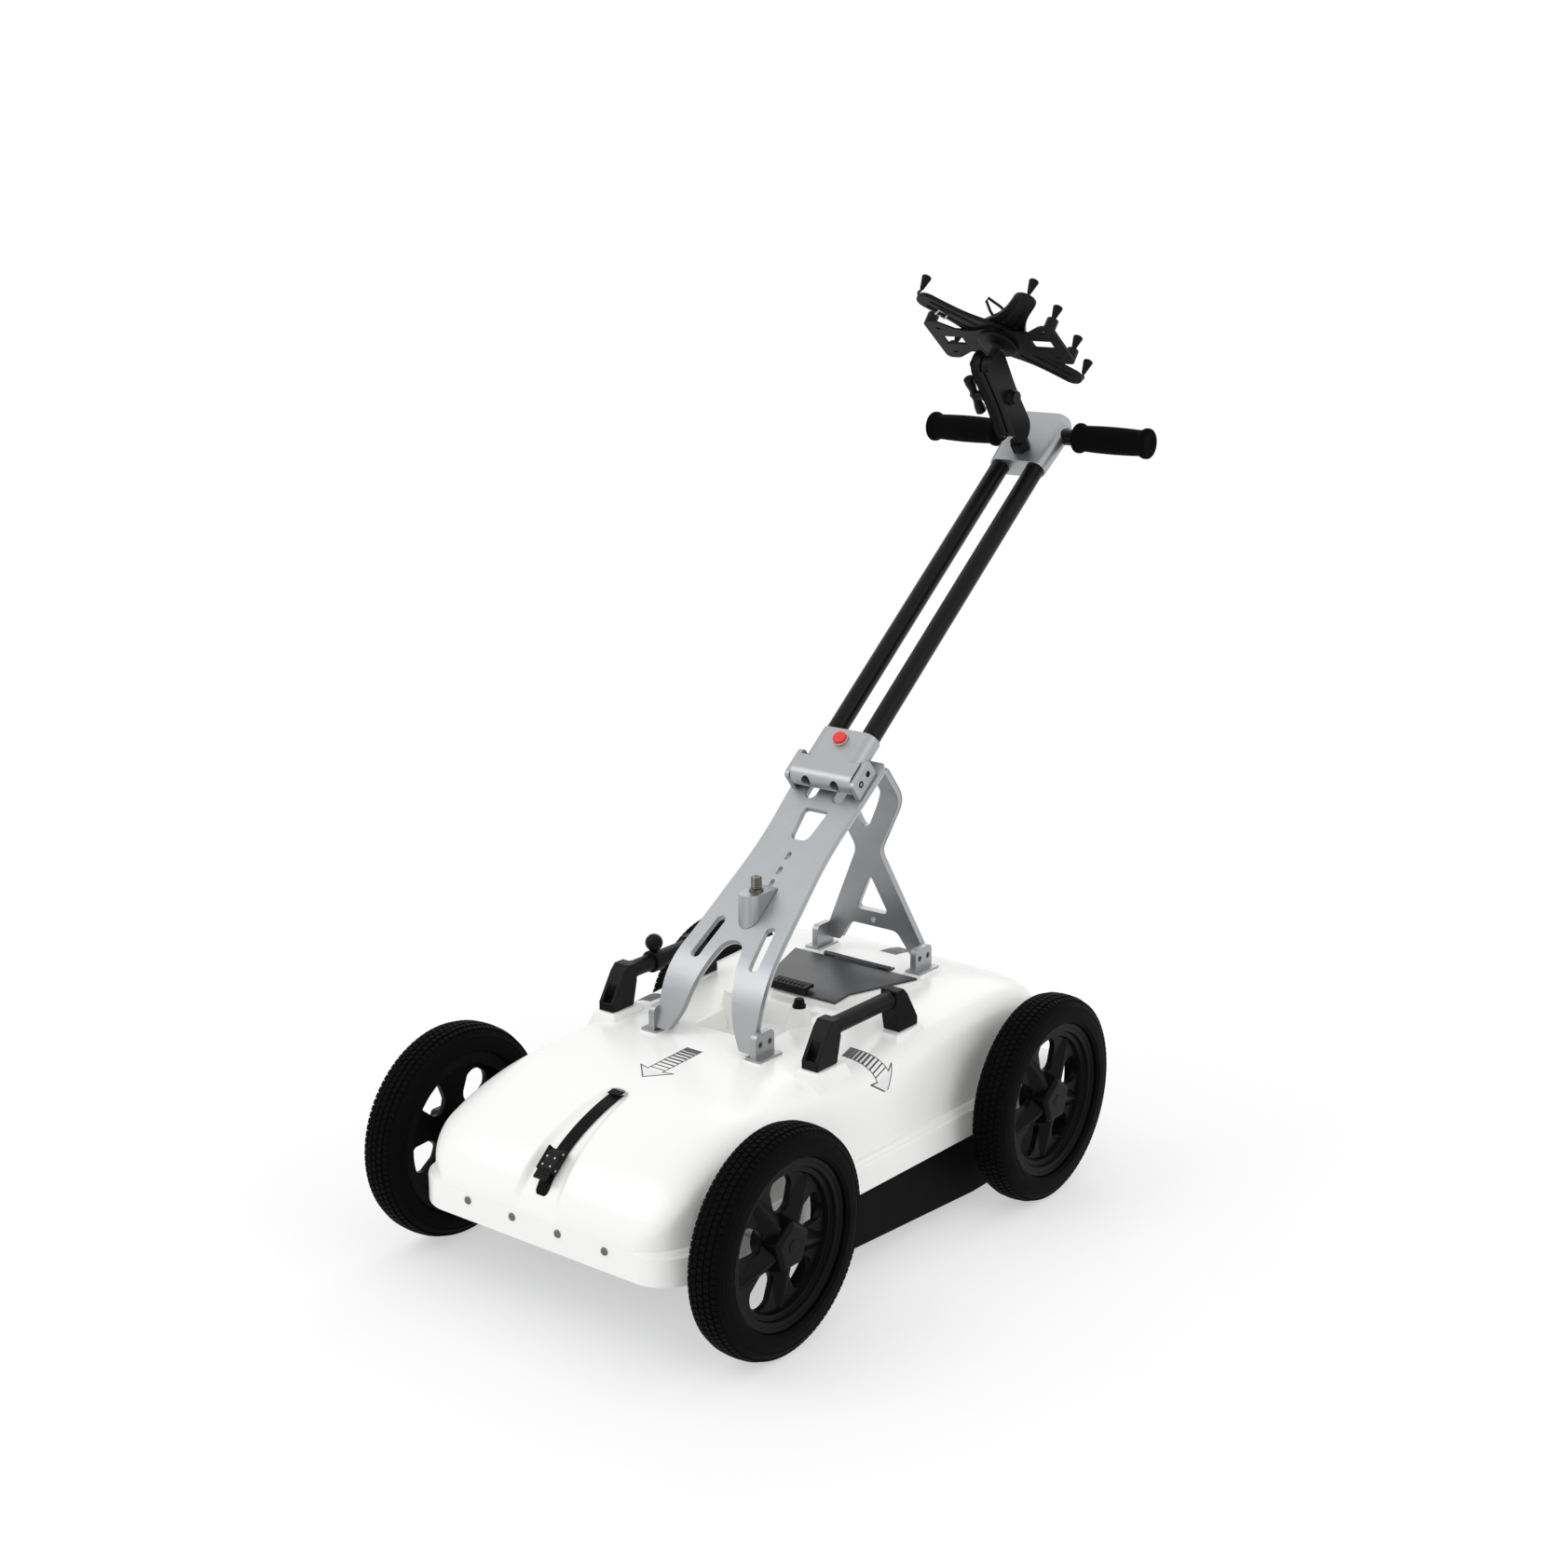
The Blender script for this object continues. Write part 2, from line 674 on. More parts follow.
def row_tree():
    """Repeats a shape round local Z: a row of a tyre's tread."""
    tree, given, result = tree_of(
        "Row_round_an_axle",
        Count="NodeSocketInt",
        Radius="NodeSocketFloat",
        Across="NodeSocketFloat",
        Tilt="NodeSocketFloat",
        Phase="NodeSocketFloat",
        Shape="NodeSocketObject",
        Material="NodeSocketMaterial",
    )
    ring = node(
        tree,
        "GeometryNodeMeshCircle",
        {"Vertices": given.outputs["Count"], "Radius": given.outputs["Radius"]},
    )
    position = node(tree, "GeometryNodeInputPosition")
    spot = node(tree, "ShaderNodeSeparateXYZ", {"Vector": position.outputs[0]})
    heading = node(
        tree, "ShaderNodeMath", {0: spot.outputs["Y"], 1: spot.outputs["X"]}, operation="ARCTAN2"
    )
    facing = node(
        tree, "ShaderNodeCombineXYZ", {"Y": given.outputs["Tilt"], "Z": heading.outputs["Value"]}
    )
    shape = node(tree, "GeometryNodeObjectInfo", {"Object": given.outputs["Shape"]})
    copies = node(
        tree,
        "GeometryNodeInstanceOnPoints",
        {
            "Points": ring.outputs["Mesh"],
            "Instance": shape.outputs["Geometry"],
            "Rotation": node(
                tree, "FunctionNodeEulerToRotation", {"Euler": facing.outputs["Vector"]}
            ).outputs["Rotation"],
        },
    )
    real = node(tree, "GeometryNodeRealizeInstances", {"Geometry": copies.outputs["Instances"]})
    shift = node(tree, "ShaderNodeCombineXYZ", {"Z": given.outputs["Across"]})
    roll = node(tree, "ShaderNodeCombineXYZ", {"Z": given.outputs["Phase"]})
    moved = node(
        tree,
        "GeometryNodeTransform",
        {
            "Geometry": real.outputs["Geometry"],
            "Translation": shift.outputs["Vector"],
            "Rotation": node(
                tree, "FunctionNodeEulerToRotation", {"Euler": roll.outputs["Vector"]}
            ).outputs["Rotation"],
        },
    )
    dressed = node(
        tree,
        "GeometryNodeSetMaterial",
        {"Geometry": moved.outputs["Geometry"], "Material": given.outputs["Material"]},
    )
    tree.links.new(dressed.outputs["Geometry"], result.inputs["Geometry"])
    return tree


def spots_tree():
    """Repeats a shape on every point of a mesh, its Z along the point's facing: screws, teeth, thread."""
    tree, given, result = tree_of(
        "Shape_on_spots",
        Shape="NodeSocketObject",
        Size="NodeSocketFloat",
        Material="NodeSocketMaterial",
    )
    facing = node(tree, "GeometryNodeInputNamedAttribute", {"Name": "facing"}, data_type="FLOAT_VECTOR")
    aligned = node(
        tree, "FunctionNodeAlignRotationToVector", {"Vector": facing.outputs["Attribute"]}, axis="Z"
    )
    shape = node(tree, "GeometryNodeObjectInfo", {"Object": given.outputs["Shape"]})
    copies = node(
        tree,
        "GeometryNodeInstanceOnPoints",
        {
            "Points": given.outputs["Geometry"],
            "Instance": shape.outputs["Geometry"],
            "Rotation": aligned.outputs["Rotation"],
            "Scale": given.outputs["Size"],
        },
    )
    real = node(tree, "GeometryNodeRealizeInstances", {"Geometry": copies.outputs["Instances"]})
    dressed = node(
        tree,
        "GeometryNodeSetMaterial",
        {"Geometry": real.outputs["Geometry"], "Material": given.outputs["Material"]},
    )
    tree.links.new(dressed.outputs["Geometry"], result.inputs["Geometry"])
    return tree


TREES = {}


def on_spots(name, spots, shape, finish, body, size=1.0, replaces=()):
    """Puts copies of a shape on spots, each (point, facing) in millimetres of the cart's frame."""
    if "spots" not in TREES:
        TREES["spots"] = spots_tree()
    carrier = bpy.data.meshes.new("spots")
    carrier.from_pydata([Vector(p) * MM for p, _ in spots], [], [])
    facing = carrier.attributes.new("facing", "FLOAT_VECTOR", "POINT")
    facing.data.foreach_set("vector", [c for _, f in spots for c in Vector(f).normalized()])
    pattern = template(shape)
    mesh = grown(carrier, TREES["spots"], Shape=pattern, Size=size, Material=FINISH[finish])
    bpy.data.objects.remove(pattern)
    return place(name, mesh, finish, body, replaces, 30, False)


def carved(base, add=(), cut=()):
    """A closed shape with others joined to it and then others cut from it, as one clean solid."""
    operands = []
    obj = None
    for bm, operation in [(base, None)] + [(b, "UNION") for b in add] + [(b, "DIFFERENCE") for b in cut]:
        bmesh.ops.recalc_face_normals(bm, faces=bm.faces)
        if bm.calc_volume(signed=True) < 0:
            bmesh.ops.reverse_faces(bm, faces=bm.faces)
        mesh = bpy.data.meshes.new("operand")
        bm.to_mesh(mesh)
        bm.free()
        part = bpy.data.objects.new("operand", mesh)
        bpy.context.scene.collection.objects.link(part)
        if operation is None:
            obj = part
            continue
        operands.append(part)
        step = obj.modifiers.new(operation, "BOOLEAN")
        step.operation = operation
        step.object = part
        step.solver = "MANIFOLD"
    plain(obj)
    result = bmesh.new()
    result.from_mesh(obj.data)
    for part in [obj, *operands]:
        bpy.data.objects.remove(part)
    return result


def block(low, high):
    """A box between two corners."""
    (x0, y0, z0), (x1, y1, z1) = low, high
    return prism([(x0, y0), (x1, y0), (x1, y1), (x0, y1)], z0, z1)


def rod(r, start, end, sides=32):
    """A cylinder of radius r from one point to another."""
    a, b = Vector(start), Vector(end)
    bm = lathe([(r, 0), (r, (b - a).length)], sides)
    bm.transform(Matrix.Translation(a) @ (b - a).to_track_quat("Z", "Y").to_matrix().to_4x4())
    return bm


def wire(path, r, sides=10, closed=False):
    """A round wire of radius r through points."""
    points = [Vector(p) for p in path]
    n = len(points)
    rings = []
    side = None
    for i, p in enumerate(points):
        before = points[i - 1] if closed or i else p
        after = points[(i + 1) % n] if closed or i < n - 1 else p
        along = (after - before).normalized()
        guess = side or (Vector((1, 0, 0)) if abs(along.x) < 0.9 else Vector((0, 1, 0)))
        side = (guess - along * guess.dot(along)).normalized()
        other = along.cross(side)
        rings.append([p + (side * x + other * y) * r for x, y in polygon(1, sides)])
    return skin(rings, loop=closed)


def smooth_step(low, high, value):
    """0 below low, 1 above high and an even curve between, or the other way round where low is higher."""
    s = np.clip((value - low) / (high - low), 0, 1)
    return s * s * (3 - 2 * s)


def corner_in(d, r):
    """How far a rounded corner of radius r has come in at distance d from the end."""
    d = np.clip(d, 0, r)
    return r - np.sqrt(r * r - (r - d) ** 2)


def body_half(c, y):
    """Half the width of the cover's body over its ledge."""
    straight = c.front_half + (c.rear_half - c.front_half) * (y + c.front) / (c.front + c.rear) - c.ledge_w
    return straight - np.maximum(corner_in(y + c.front, c.nose_r), corner_in(c.rear - y, c.tail_r))


def body_top(c, y, inside=0.0):
    """Height of the cover's body over the middle, or of the line that far inside it."""
    crown = c.crown_front + (c.crown_rear - c.crown_front) * (y - c.nose) / (c.tail - c.nose)
    nose = np.sqrt(np.clip(1 - ((c.nose - y) / (c.nose + c.front - inside)) ** 2, 0, 1))
    tail = np.cbrt(np.clip(1 - ((y - c.tail) / (c.rear - inside - c.tail)) ** 3, 0, 1))
    rise = np.where(y < c.nose, nose, np.where(y > c.tail, tail, 1.0))
    return c.ledge_high + (crown - c.ledge_high - inside) * rise


def body_height(c, x, y):
    """Height of the cover's body at a place."""
    across = np.clip(np.abs(x) / np.maximum(body_half(c, y), 1e-6), 0, 1)
    up = (1 - across**c.roundness) ** (1 / c.roundness)
    return c.ledge_high + (body_top(c, y) - c.ledge_high) * up


# The strap channel's upper end along the cart, and half its width there and at the front
CHANNEL_TOP = -266
CHANNEL_HALF = (15, 32)


def channel_depth(c, y):
    """Depth of the strap channel, which grows from its upper end to the front."""
    return c.channel_deep * (0.45 + 0.7 * np.clip((CHANNEL_TOP - y) / (CHANNEL_TOP + c.front), 0, 1))


# The well between the front plate's feet and the lid
WELL = SimpleNamespace(half=64, front=-48, rear=84, floor=256, slope=14, rim=292, soft=5)


def cover_body(c):
    """The body over the ledge, with the strap channel and the well sunk into it."""
    nose_l, tail_l = c.nose + c.front, c.rear - c.tail
    coarse, fine, margin = 6, 2.4, 12
    # Rows and columns lie closer where the surface bends and round the well
    ys = np.concatenate(
        [
            c.nose - nose_l * np.sin(np.linspace(np.pi / 2, 0, 120, endpoint=False)),
            np.arange(c.nose, WELL.front - margin, coarse),
            np.arange(WELL.front - margin, WELL.rear + margin, fine),
            np.arange(WELL.rear + margin, c.tail - 2, coarse),
            c.tail + tail_l * np.sin(np.linspace(0, np.pi / 2, 48)) ** (2 / 3),
        ]
    )
    wide = float(body_half(c, np.array(0.0)))
    bend = np.arccos(0.8 ** (c.roundness / 2))
    right = np.concatenate(
        [
            np.arange(0, 78, fine) / wide,
            np.arange(78, 0.8 * wide - 3, coarse) / wide,
            np.cos(np.linspace(bend, 0, 34)) ** (2 / c.roundness),
        ]
    )
    across = np.concatenate([right[::-1], -right[1:]])
    y, f = np.meshgrid(ys, across, indexing="ij")
    half = body_half(c, y)
    x = f * half
    up = (1 - np.abs(f) ** c.roundness) ** (1 / c.roundness)
    z = c.ledge_high + (body_top(c, y) - c.ledge_high) * up
    points = np.stack([x, y, z], -1)
    out = np.cross(np.gradient(points, axis=1), np.gradient(points, axis=0))
    out = -out / np.maximum(np.linalg.norm(out, axis=-1, keepdims=True), 1e-9)
    out *= np.where(out[..., 2:] < -0.2, -1, 1)
    # The channel goes in along the surface's own facing
    run = (CHANNEL_TOP - y) / (CHANNEL_TOP + c.front)
    edge = CHANNEL_HALF[0] + (CHANNEL_HALF[1] - CHANNEL_HALF[0]) * np.clip(run, 0, 1)
    sunk = 1 - smooth_step(edge - c.channel_soft / 2, edge + c.channel_soft, np.abs(x))
    sunk *= smooth_step(CHANNEL_TOP + 10, CHANNEL_TOP - 8, y)
    sunk *= smooth_step(c.ledge_high - 6, c.ledge_high + 52, z)
    points -= out * (sunk * channel_depth(c, y))[..., None]
    # The well's sloping sides meet the body in a soft edge
    steep = (WELL.rim - WELL.floor) / WELL.slope
    outside = np.maximum.reduce(
        [np.abs(x) - WELL.half + WELL.slope, WELL.front + WELL.slope - y, y - WELL.rear + WELL.slope, 0 * y]
    )
    well = WELL.floor + outside * steep
    z = points[..., 2]
    near = np.clip(0.5 + (well - z) / (2 * WELL.soft), 0, 1)
    points[..., 2] = np.where(
        outside < WELL.slope + 8, well * (1 - near) + z * near - WELL.soft * near * (1 - near), z
    )
    rings = []
    for row, h in zip(points, body_half(c, ys)):
        y_low = min(max(row[0, 1], 2 - c.front), c.rear - 2)
        low = c.ledge_high - 8
        rings.append([(h - 2, y_low, low), *map(tuple, row), (2 - h, y_low, low)])
    return skin(rings)


def ring_point(front_half, rear_half, front, rear, radii, angle):
    """The point of a rounded, tapered outline that faces an angle, and that direction."""
    facing = Vector((math.cos(angle), math.sin(angle)))
    ahead = facing.y < 0
    r = radii[0] if ahead else radii[1]
    corner = Vector(
        (
            math.copysign((front_half if ahead else rear_half) - r, facing.x),
            r - front if ahead else rear - r,
        )
    )
    return corner + facing * r, facing


def cover_skirt(c):
    """The skirt with its ledge: a soft bevel along the sides, and lips that stand up at the corners."""
    count = 160
    lip, bevel_high, overlap = 4, 6, 12
    rows = []
    for k in range(count):
        a = 2 * math.pi * (k + 0.5) / count
        edge, facing = ring_point(c.front_half, c.rear_half, c.front, c.rear, (c.skirt_r, c.skirt_r), a)
        body, _ = ring_point(
            c.front_half - c.ledge_w, c.rear_half - c.ledge_w, c.front, c.rear, (c.nose_r, c.tail_r), a
        )
        gap = max(0.0, (edge - body).dot(facing))
        r = min(4.0, gap / 2.2)
        corner = smooth_step(c.ledge_w + 2, c.ledge_w + 14, gap)
        top = c.ledge_high + lip * corner
        bevel = bevel_high * (1 - corner) * min(1.0, gap / c.ledge_w)
        inner = body - facing * overlap
        rows.append(
            [
                (*inner, c.ledge_high - 14),
                (*inner, c.ledge_high - 1 + bevel),
                (*(body - facing * 1.5), c.ledge_high + bevel),
                (*(body.lerp(edge, 0.35)), c.ledge_high + bevel * 0.75),
                (*(edge - facing * r), top - 0.1 * r),
                (*(edge - facing * r * 0.6), top),
                (*(edge - facing * r * 0.15), top - 0.4 * r),
                (*edge, top - r - 0.5),
                (*edge, c.skirt_low + 2),
                (*(edge - facing * 0.6), c.skirt_low + 0.6),
                (*(edge - facing * 2), c.skirt_low),
                (*(edge - facing * 4), c.skirt_low),
                (*(edge - facing * 4.2), c.ledge_high - 14),
            ]
        )
    return skin(rows, loop=True)


def frustum(x, y, z, deep, slope):
    """A pad with flat top and sloping sides: (low, high) across and along, its height and depth."""
    rings = []
    for grow_by, level in ((slope, z - deep), (0, z)):
        rings.append(
            [
                (x[0] - grow_by, y[0] - grow_by, level),
                (x[1] + grow_by, y[0] - grow_by, level),
                (x[1] + grow_by, y[1] + grow_by, level),
                (x[0] - grow_by, y[1] + grow_by, level),
            ]
        )
    return skin(rings)


class CART_OT_cover(bpy.types.Operator):
    """The moulded cover with its skirt, pads, bosses, well and strap channel"""

    bl_idname = "cart.cover"
    bl_label = "Cover"

    def execute(self, context):
        c = sizes(context.scene.cart_cover)
        parts = [cover_skirt(c)]
        for s in (-1, 1):
            parts += self.pads(s)
        parts += self.lid_seat()
        bay = prism(rounded_corners([(-48, 146), (48, 146), (48, 228), (-48, 228)], 4), 90, 400)
        past = 400
        holes = [
            rod(11.5, (-past, s * AXLE_AT, AXLE_HIGH), (past, s * AXLE_AT, AXLE_HIGH), 40) for s in (-1, 1)
        ]
        solid = carved(cover_body(c), parts, [bay, *holes])
        put("moulded_cover", solid, "cover", "chassis", HERE, ("top_cover",), 30)
        cap = fillet([(0, 0), (9.5, 0, 0), (9.5, 3.5), (8, 4.5), (6.6, 12.4, 1.6), (0, 13)], 0.8)
        top = HERE @ move(*BOSS_AT, BOSS_TOP)
        put("port_cap", lathe(cap, 48), "rubber", "chassis", top, ("port_cap",))
        return {"FINISHED"}

    def pads(self, s):
        """The pads under the carry handle and the foot brackets, and the boss, on the side s."""
        parts = []
        for y in CARRY_FEET:
            across = sorted((s * (CARRY_X - 18.5), s * (CARRY_X + 18.5)))
            parts.append(ease(frustum(across, (y - 31, y + 31), 285, 44, 15), 3, 3))
        for y, z in FEET:
            across = sorted((s * 76, s * 107))
            parts.append(ease(frustum(across, (y - 27, y + 27), z, 30, 2.5), 1.5, 2))
        boss_x, boss_y = BOSS_AT
        boss = []
        for r, z in ((27, WELL.floor - 4), (14, BOSS_TOP)):
            boss.append([(s * boss_x + x, boss_y + y, z) for x, y in polygon(r, 8, 22.5)])
        parts.append(ease(skin(boss), 1.5, 2, 20))
        return parts

    def lid_seat(self):
        """The raised seat under the lid, and its front part that falls towards the well."""
        low, high, bend, end = WELL.floor - 4, 297, 138, 107
        fall = 7 / (bend - 112)
        seat = [(-116.5, 256), (-77, bend), (77, bend), (116.5, 256)]
        front = [(-77, bend), (-71, end), (71, end), (77, bend)]
        return [
            prism(seat, low, high),
            skin([[(x, y, low) for x, y in front], [(x, y, high - fall * (bend - y)) for x, y in front]]),
        ]


def tyre_shape(w):
    """A tyre about local Z, without its tread blocks."""
    r = w.tyre_d / 2
    crown = r - w.tread_deep
    outboard = [
        (crown, 0),
        (crown - 0.5, 10),
        (crown - 2.8, 18.5),
        (crown - 6.6, 23),
        (r - 13.2, 25.4),
        (r - 13.6, 26.2),
        (r - 15.2, 26.3),
        (r - 15.6, 25.9),
        (r - 21, 27.4),
        (r - 26, 28),
        (r - 31, 27.7),
        (r - 32.4, 28),
        (r - 34.2, 27.8),
        (r - 35, 26.6),
        (r - 37, 25.5),
        (r - 38.1, 24.2),
        (r - 38.1, 16.8),
        (r - 46.9, 16.8),
    ]
    inboard = [(radius, -z) for radius, z in reversed(outboard[1:])]
    return lathe(inboard + outboard, 120, hollow=True)


def tread_block(wide, long, deep):
    """One tread block: local X out of the tyre, Y round it, Z across it."""
    def face(x, inset):
        y, z = long / 2 - inset, wide / 2 - inset
        return [(x, -y, -z), (x, y, -z), (x, y, z), (x, -y, z)]

    return skin([face(-1.2, 0), face(deep - 0.5, 0.1), face(deep, 0.7)])


def rim_arm(reach, angle):
    """One arm of the rim's star: a ridge with sloping flanks that falls towards its tip."""
    def section(x, half, top_half, top):
        return [(x, -half, 3), (x, half, 3), (x, top_half, top), (x, -top_half, top)]

    arm = skin([section(0, 31, 5, 24), section(reach * 0.55, 20, 2.5, 17), section(reach, 12, 2, 8.5)])
    arm.transform(turn(angle, "Z"))
    return ease(arm, 1.6, 2, 20)


def rim_hole(angle):
    """The cutter for one rounded hole between two arms, which scoops their flanks as it widens outboard."""
    outline = []
    # Two arcs: the centre's distance from the axle, the radius, and the degrees that it spans
    for centre, r, span in ((68, 21, (-80, 80)), (56, 16, (100, 260))):
        for a in np.radians(np.linspace(*span, 15)):
            outline.append((centre + r * math.cos(a), r * math.sin(a)))
    middle_x = 64
    rings = []
    for z, grow_by in ((-9, 1.0), (4, 1.0), (7, 1.05), (13, 1.13), (20, 1.24), (29, 1.42)):
        rings.append([(middle_x + (x - middle_x) * grow_by, y * grow_by, z) for x, y in outline])
    cutter = skin(rings)
    cutter.transform(turn(angle, "Z"))
    return cutter


def rim_shape(w):
    """A moulded rim about local Z, its star outboard."""
    half, flange = w.rim_w / 2, w.rim_d / 2
    barrel = [
        (88, -2),
        (95, -2),
        (96, -half + 0.5),
        (flange, -half),
        (flange, 4 - half),
        (103, 4 - half),
        (103, half - 4),
        (flange, half - 4),
        (flange, half, 1.4),
        (106, half, 1.2),
        (104.8, half - 2.4, 1.0),
        (99, half - 2.4, 1.2),
        (97, 12.5, 1.2),
        (91, 12.5, 1.2),
        (88, 4.5, 1.0),
    ]
    closed = fillet([barrel[-1], *barrel, barrel[0]], 0.0)[1:-1]
    ring = lathe(closed, 120, hollow=True)
    # Short faces along the radius, off the holes' own lines, so that no hole cuts one of them in two
    steps = (34, 48, 58, 69, 80, 90)
    web = lathe([(0, -2), *[(r, -2) for r in steps], *[(r, 6) for r in reversed(steps)], (0, 6)], 96)
    web.transform(turn(1.3, "Z"))
    hub = lathe(fillet([(0, -22), (26, -22), (26, 5), (0, 5)], 1.0), 64)
    pentagon = []
    for r, z in ((40, 4), (35, 23.4), (28, 27)):
        pentagon.append([(x, y, z) for x, y in polygon(r, w.spokes, 180 / w.spokes)])
    boss = ease(skin(pentagon), 1.5, 2, 20)
    cap = lathe(fillet([(0, 20), (9, 20), (9, 27.6), (0, 28)], 0.5), 40)
    arms = [rim_arm(91, 360 / w.spokes * k) for k in range(w.spokes)]
    holes = [rim_hole(360 / w.spokes * (k + 0.5)) for k in range(w.spokes)]
    bore = lathe([(16.05, -30), (16.05, 14.3)], 48)
    star = carved(web, [hub, boss, cap, *arms], holes)
    return carved(star, [ring], [bore])


class CART_OT_wheels(bpy.types.Operator):
    """Four tyres with block tread, and their five-armed rims"""

    bl_idname = "cart.wheels"
    bl_label = "Wheels"

    def execute(self, context):
        w = sizes(context.scene.cart_wheels)
        rows = row_tree()
        r = w.tyre_d / 2
        pitch = math.pi * w.tyre_d / w.blocks
        tread = [tyre_shape(w)]
        # Each row: place across the tyre, radius of the blocks' feet, tilt, width, and its turn in pitches
        for across, foot, tilt, wide, turned in (
            (0, r - w.tread_deep, 0, 8.2, 0),
            (9.4, r - w.tread_deep - 0.6, 5, 7.6, 0.5),
            (-9.4, r - w.tread_deep - 0.6, -5, 7.6, 0.5),
            (18, r - w.tread_deep - 3, 19, 7.2, 0),
            (-18, r - w.tread_deep - 3, -19, 7.2, 0),
        ):
            pattern = template(tread_block(wide, pitch - 1.6, w.tread_deep))
            carrier = bpy.data.meshes.new("carrier")
            mesh = grown(
                carrier,
                rows,
                Count=w.blocks,
                Radius=foot * MM,
                Across=across * MM,
                Tilt=math.radians(-tilt),
                Phase=2 * math.pi / w.blocks * turned,
                Shape=pattern,
                Material=FINISH["tyre"],
            )
            bpy.data.objects.remove(pattern)
            row = bmesh.new()
            row.from_mesh(mesh)
            row.transform(Matrix.Scale(1 / MM, 4))
            bpy.data.meshes.remove(mesh)
            tread.append(row)
        tyre = merged(*tread)
        rim = rim_shape(w)
        for name, matrix in WHEELS.items():
            put(f"tyre_tread_{name}", tyre.copy(), "tyre", f"wheel_{name}", matrix, (f"tyre_{name}",))
            put(f"rim_star_{name}", rim.copy(), "rim", f"wheel_{name}", matrix, (f"rim_{name}",), 25)
        tyre.free()
        rim.free()
        return {"FINISHED"}


class CART_OT_chassis(bpy.types.Operator):
    """The skid under the cover, the axles, and what stands inside"""

    bl_idname = "cart.chassis"
    bl_label = "Chassis"

    def execute(self, context):
        put_eased("antenna_skid", "skid", "chassis", 5, 3)
        dress("housing", "antenna_module", "control_unit", "battery_pack", "odometer")
        dress("aluminium", "chassis_frame", "axle_blocks", "frame_posts")
        dress("steel", "axles", "wheel_bearings")
        return {"FINISHED"}


def socket_head(r, high, socket):
    """A socket screw's head about local Z, its top at height 0."""
    sides = 24

    def ring(radius, z, hexagon=False):
        points = []
        for k in range(sides):
            a = 2 * math.pi * k / sides
            flat = math.cos((a % (math.pi / 3)) - math.pi / 6) if hexagon else 1
            points.append((radius / flat * math.cos(a), radius / flat * math.sin(a), z))
        return points

    return skin(
        [
            ring(r, -high),
            ring(r, -0.18 * r),
            ring(r * 0.86, 0),
            ring(socket * 1.08, 0, True),
            ring(socket, -0.1 * r, True),
            ring(socket, -0.62 * high, True),
            [(0, 0, -0.7 * high)],
        ]
    )


def mirrored(half):
    """A closed outline from the points of its +X half, each with its corner size."""
    return rounded_corners([*half, *[(-x, y, r) for x, y, r in reversed(half)]], 0, 8)


def capsule(start, end, r, steps=12):
    """The outline of a slot of radius r between two points."""
    a, b = Vector(start), Vector(end)
    first = math.atan2(b.y - a.y, b.x - a.x) + math.pi / 2
    outline = []
    for centre, begin in ((a, first), (b, first + math.pi)):
        for k in range(steps + 1):
            angle = begin + math.pi * k / steps
            outline.append((centre.x + r * math.cos(angle), centre.y + r * math.sin(angle)))
    return outline


def offset(outline, by):
    """An outline with every point moved out by a distance, or in by a negative one."""
    n = len(outline)
    area = sum(a[0] * b[1] - a[1] * b[0] for a, b in zip(outline, outline[1:] + outline[:1]))
    moved = []
    for i, (x, y) in enumerate(outline):
        before, after = Vector(outline[i - 1]), Vector(outline[(i + 1) % n])
        along = (after - before).normalized() * math.copysign(by, area)
        moved.append((x + along.y, y - along.x))
    return moved


def levels(outline, steps):
    """A solid through copies of an outline, each (offset, height)."""
    return skin([[(x, y, z) for x, y in offset(outline, by)] for by, z in steps])


def bent_plate(outline, cuts, thick, edge, corner, angles, r):
    """A plate with holes, drawn flat as (across, along) from its bend, then bent softly.

    Its face passes corner, at angles (below, above) to the ground, with radius r on that face.
    """
    plate = levels(outline, [(-edge, -thick), (0, edge - thick), (0, -edge), (-edge, 0)])
    flare = [(2 * edge, -thick - edge), (0, edge - thick), (0, -edge), (2 * edge, edge)]
    flat = carved(plate, (), [levels(cut, flare) for cut in cuts])
    bmesh.ops.triangulate(flat, faces=flat.faces)
    below, above = (math.radians(angle) for angle in angles)
    sweep = above - below
    half = r * math.tan(abs(sweep) / 2)
    for level in np.linspace(-half, half, 13):
        bmesh.ops.bisect_plane(
            flat, geom=[*flat.verts, *flat.edges, *flat.faces], plane_co=(0, level, 0), plane_no=(0, 1, 0)
        )
    for v in flat.verts:
        x, along, deep = v.co
        share_bent = min(max((along + half) / (2 * half), 0), 1)
        angle = below + sweep * share_bent
        out = Vector((0, -math.sin(angle), math.cos(angle)))
        if abs(along) >= half:
            place_at = corner + Vector((0, math.cos(angle), math.sin(angle))) * along
        else:
            start = Vector((0, math.cos(below), math.sin(below)))
            turned = math.copysign(r, sweep)
            centre = corner - start * half + Vector((0, -start.z, start.y)) * turned
            place_at = centre - out * turned
        v.co = place_at + out * deep + Vector((x, 0, 0))
    return flat


PLATE_THICK = 10


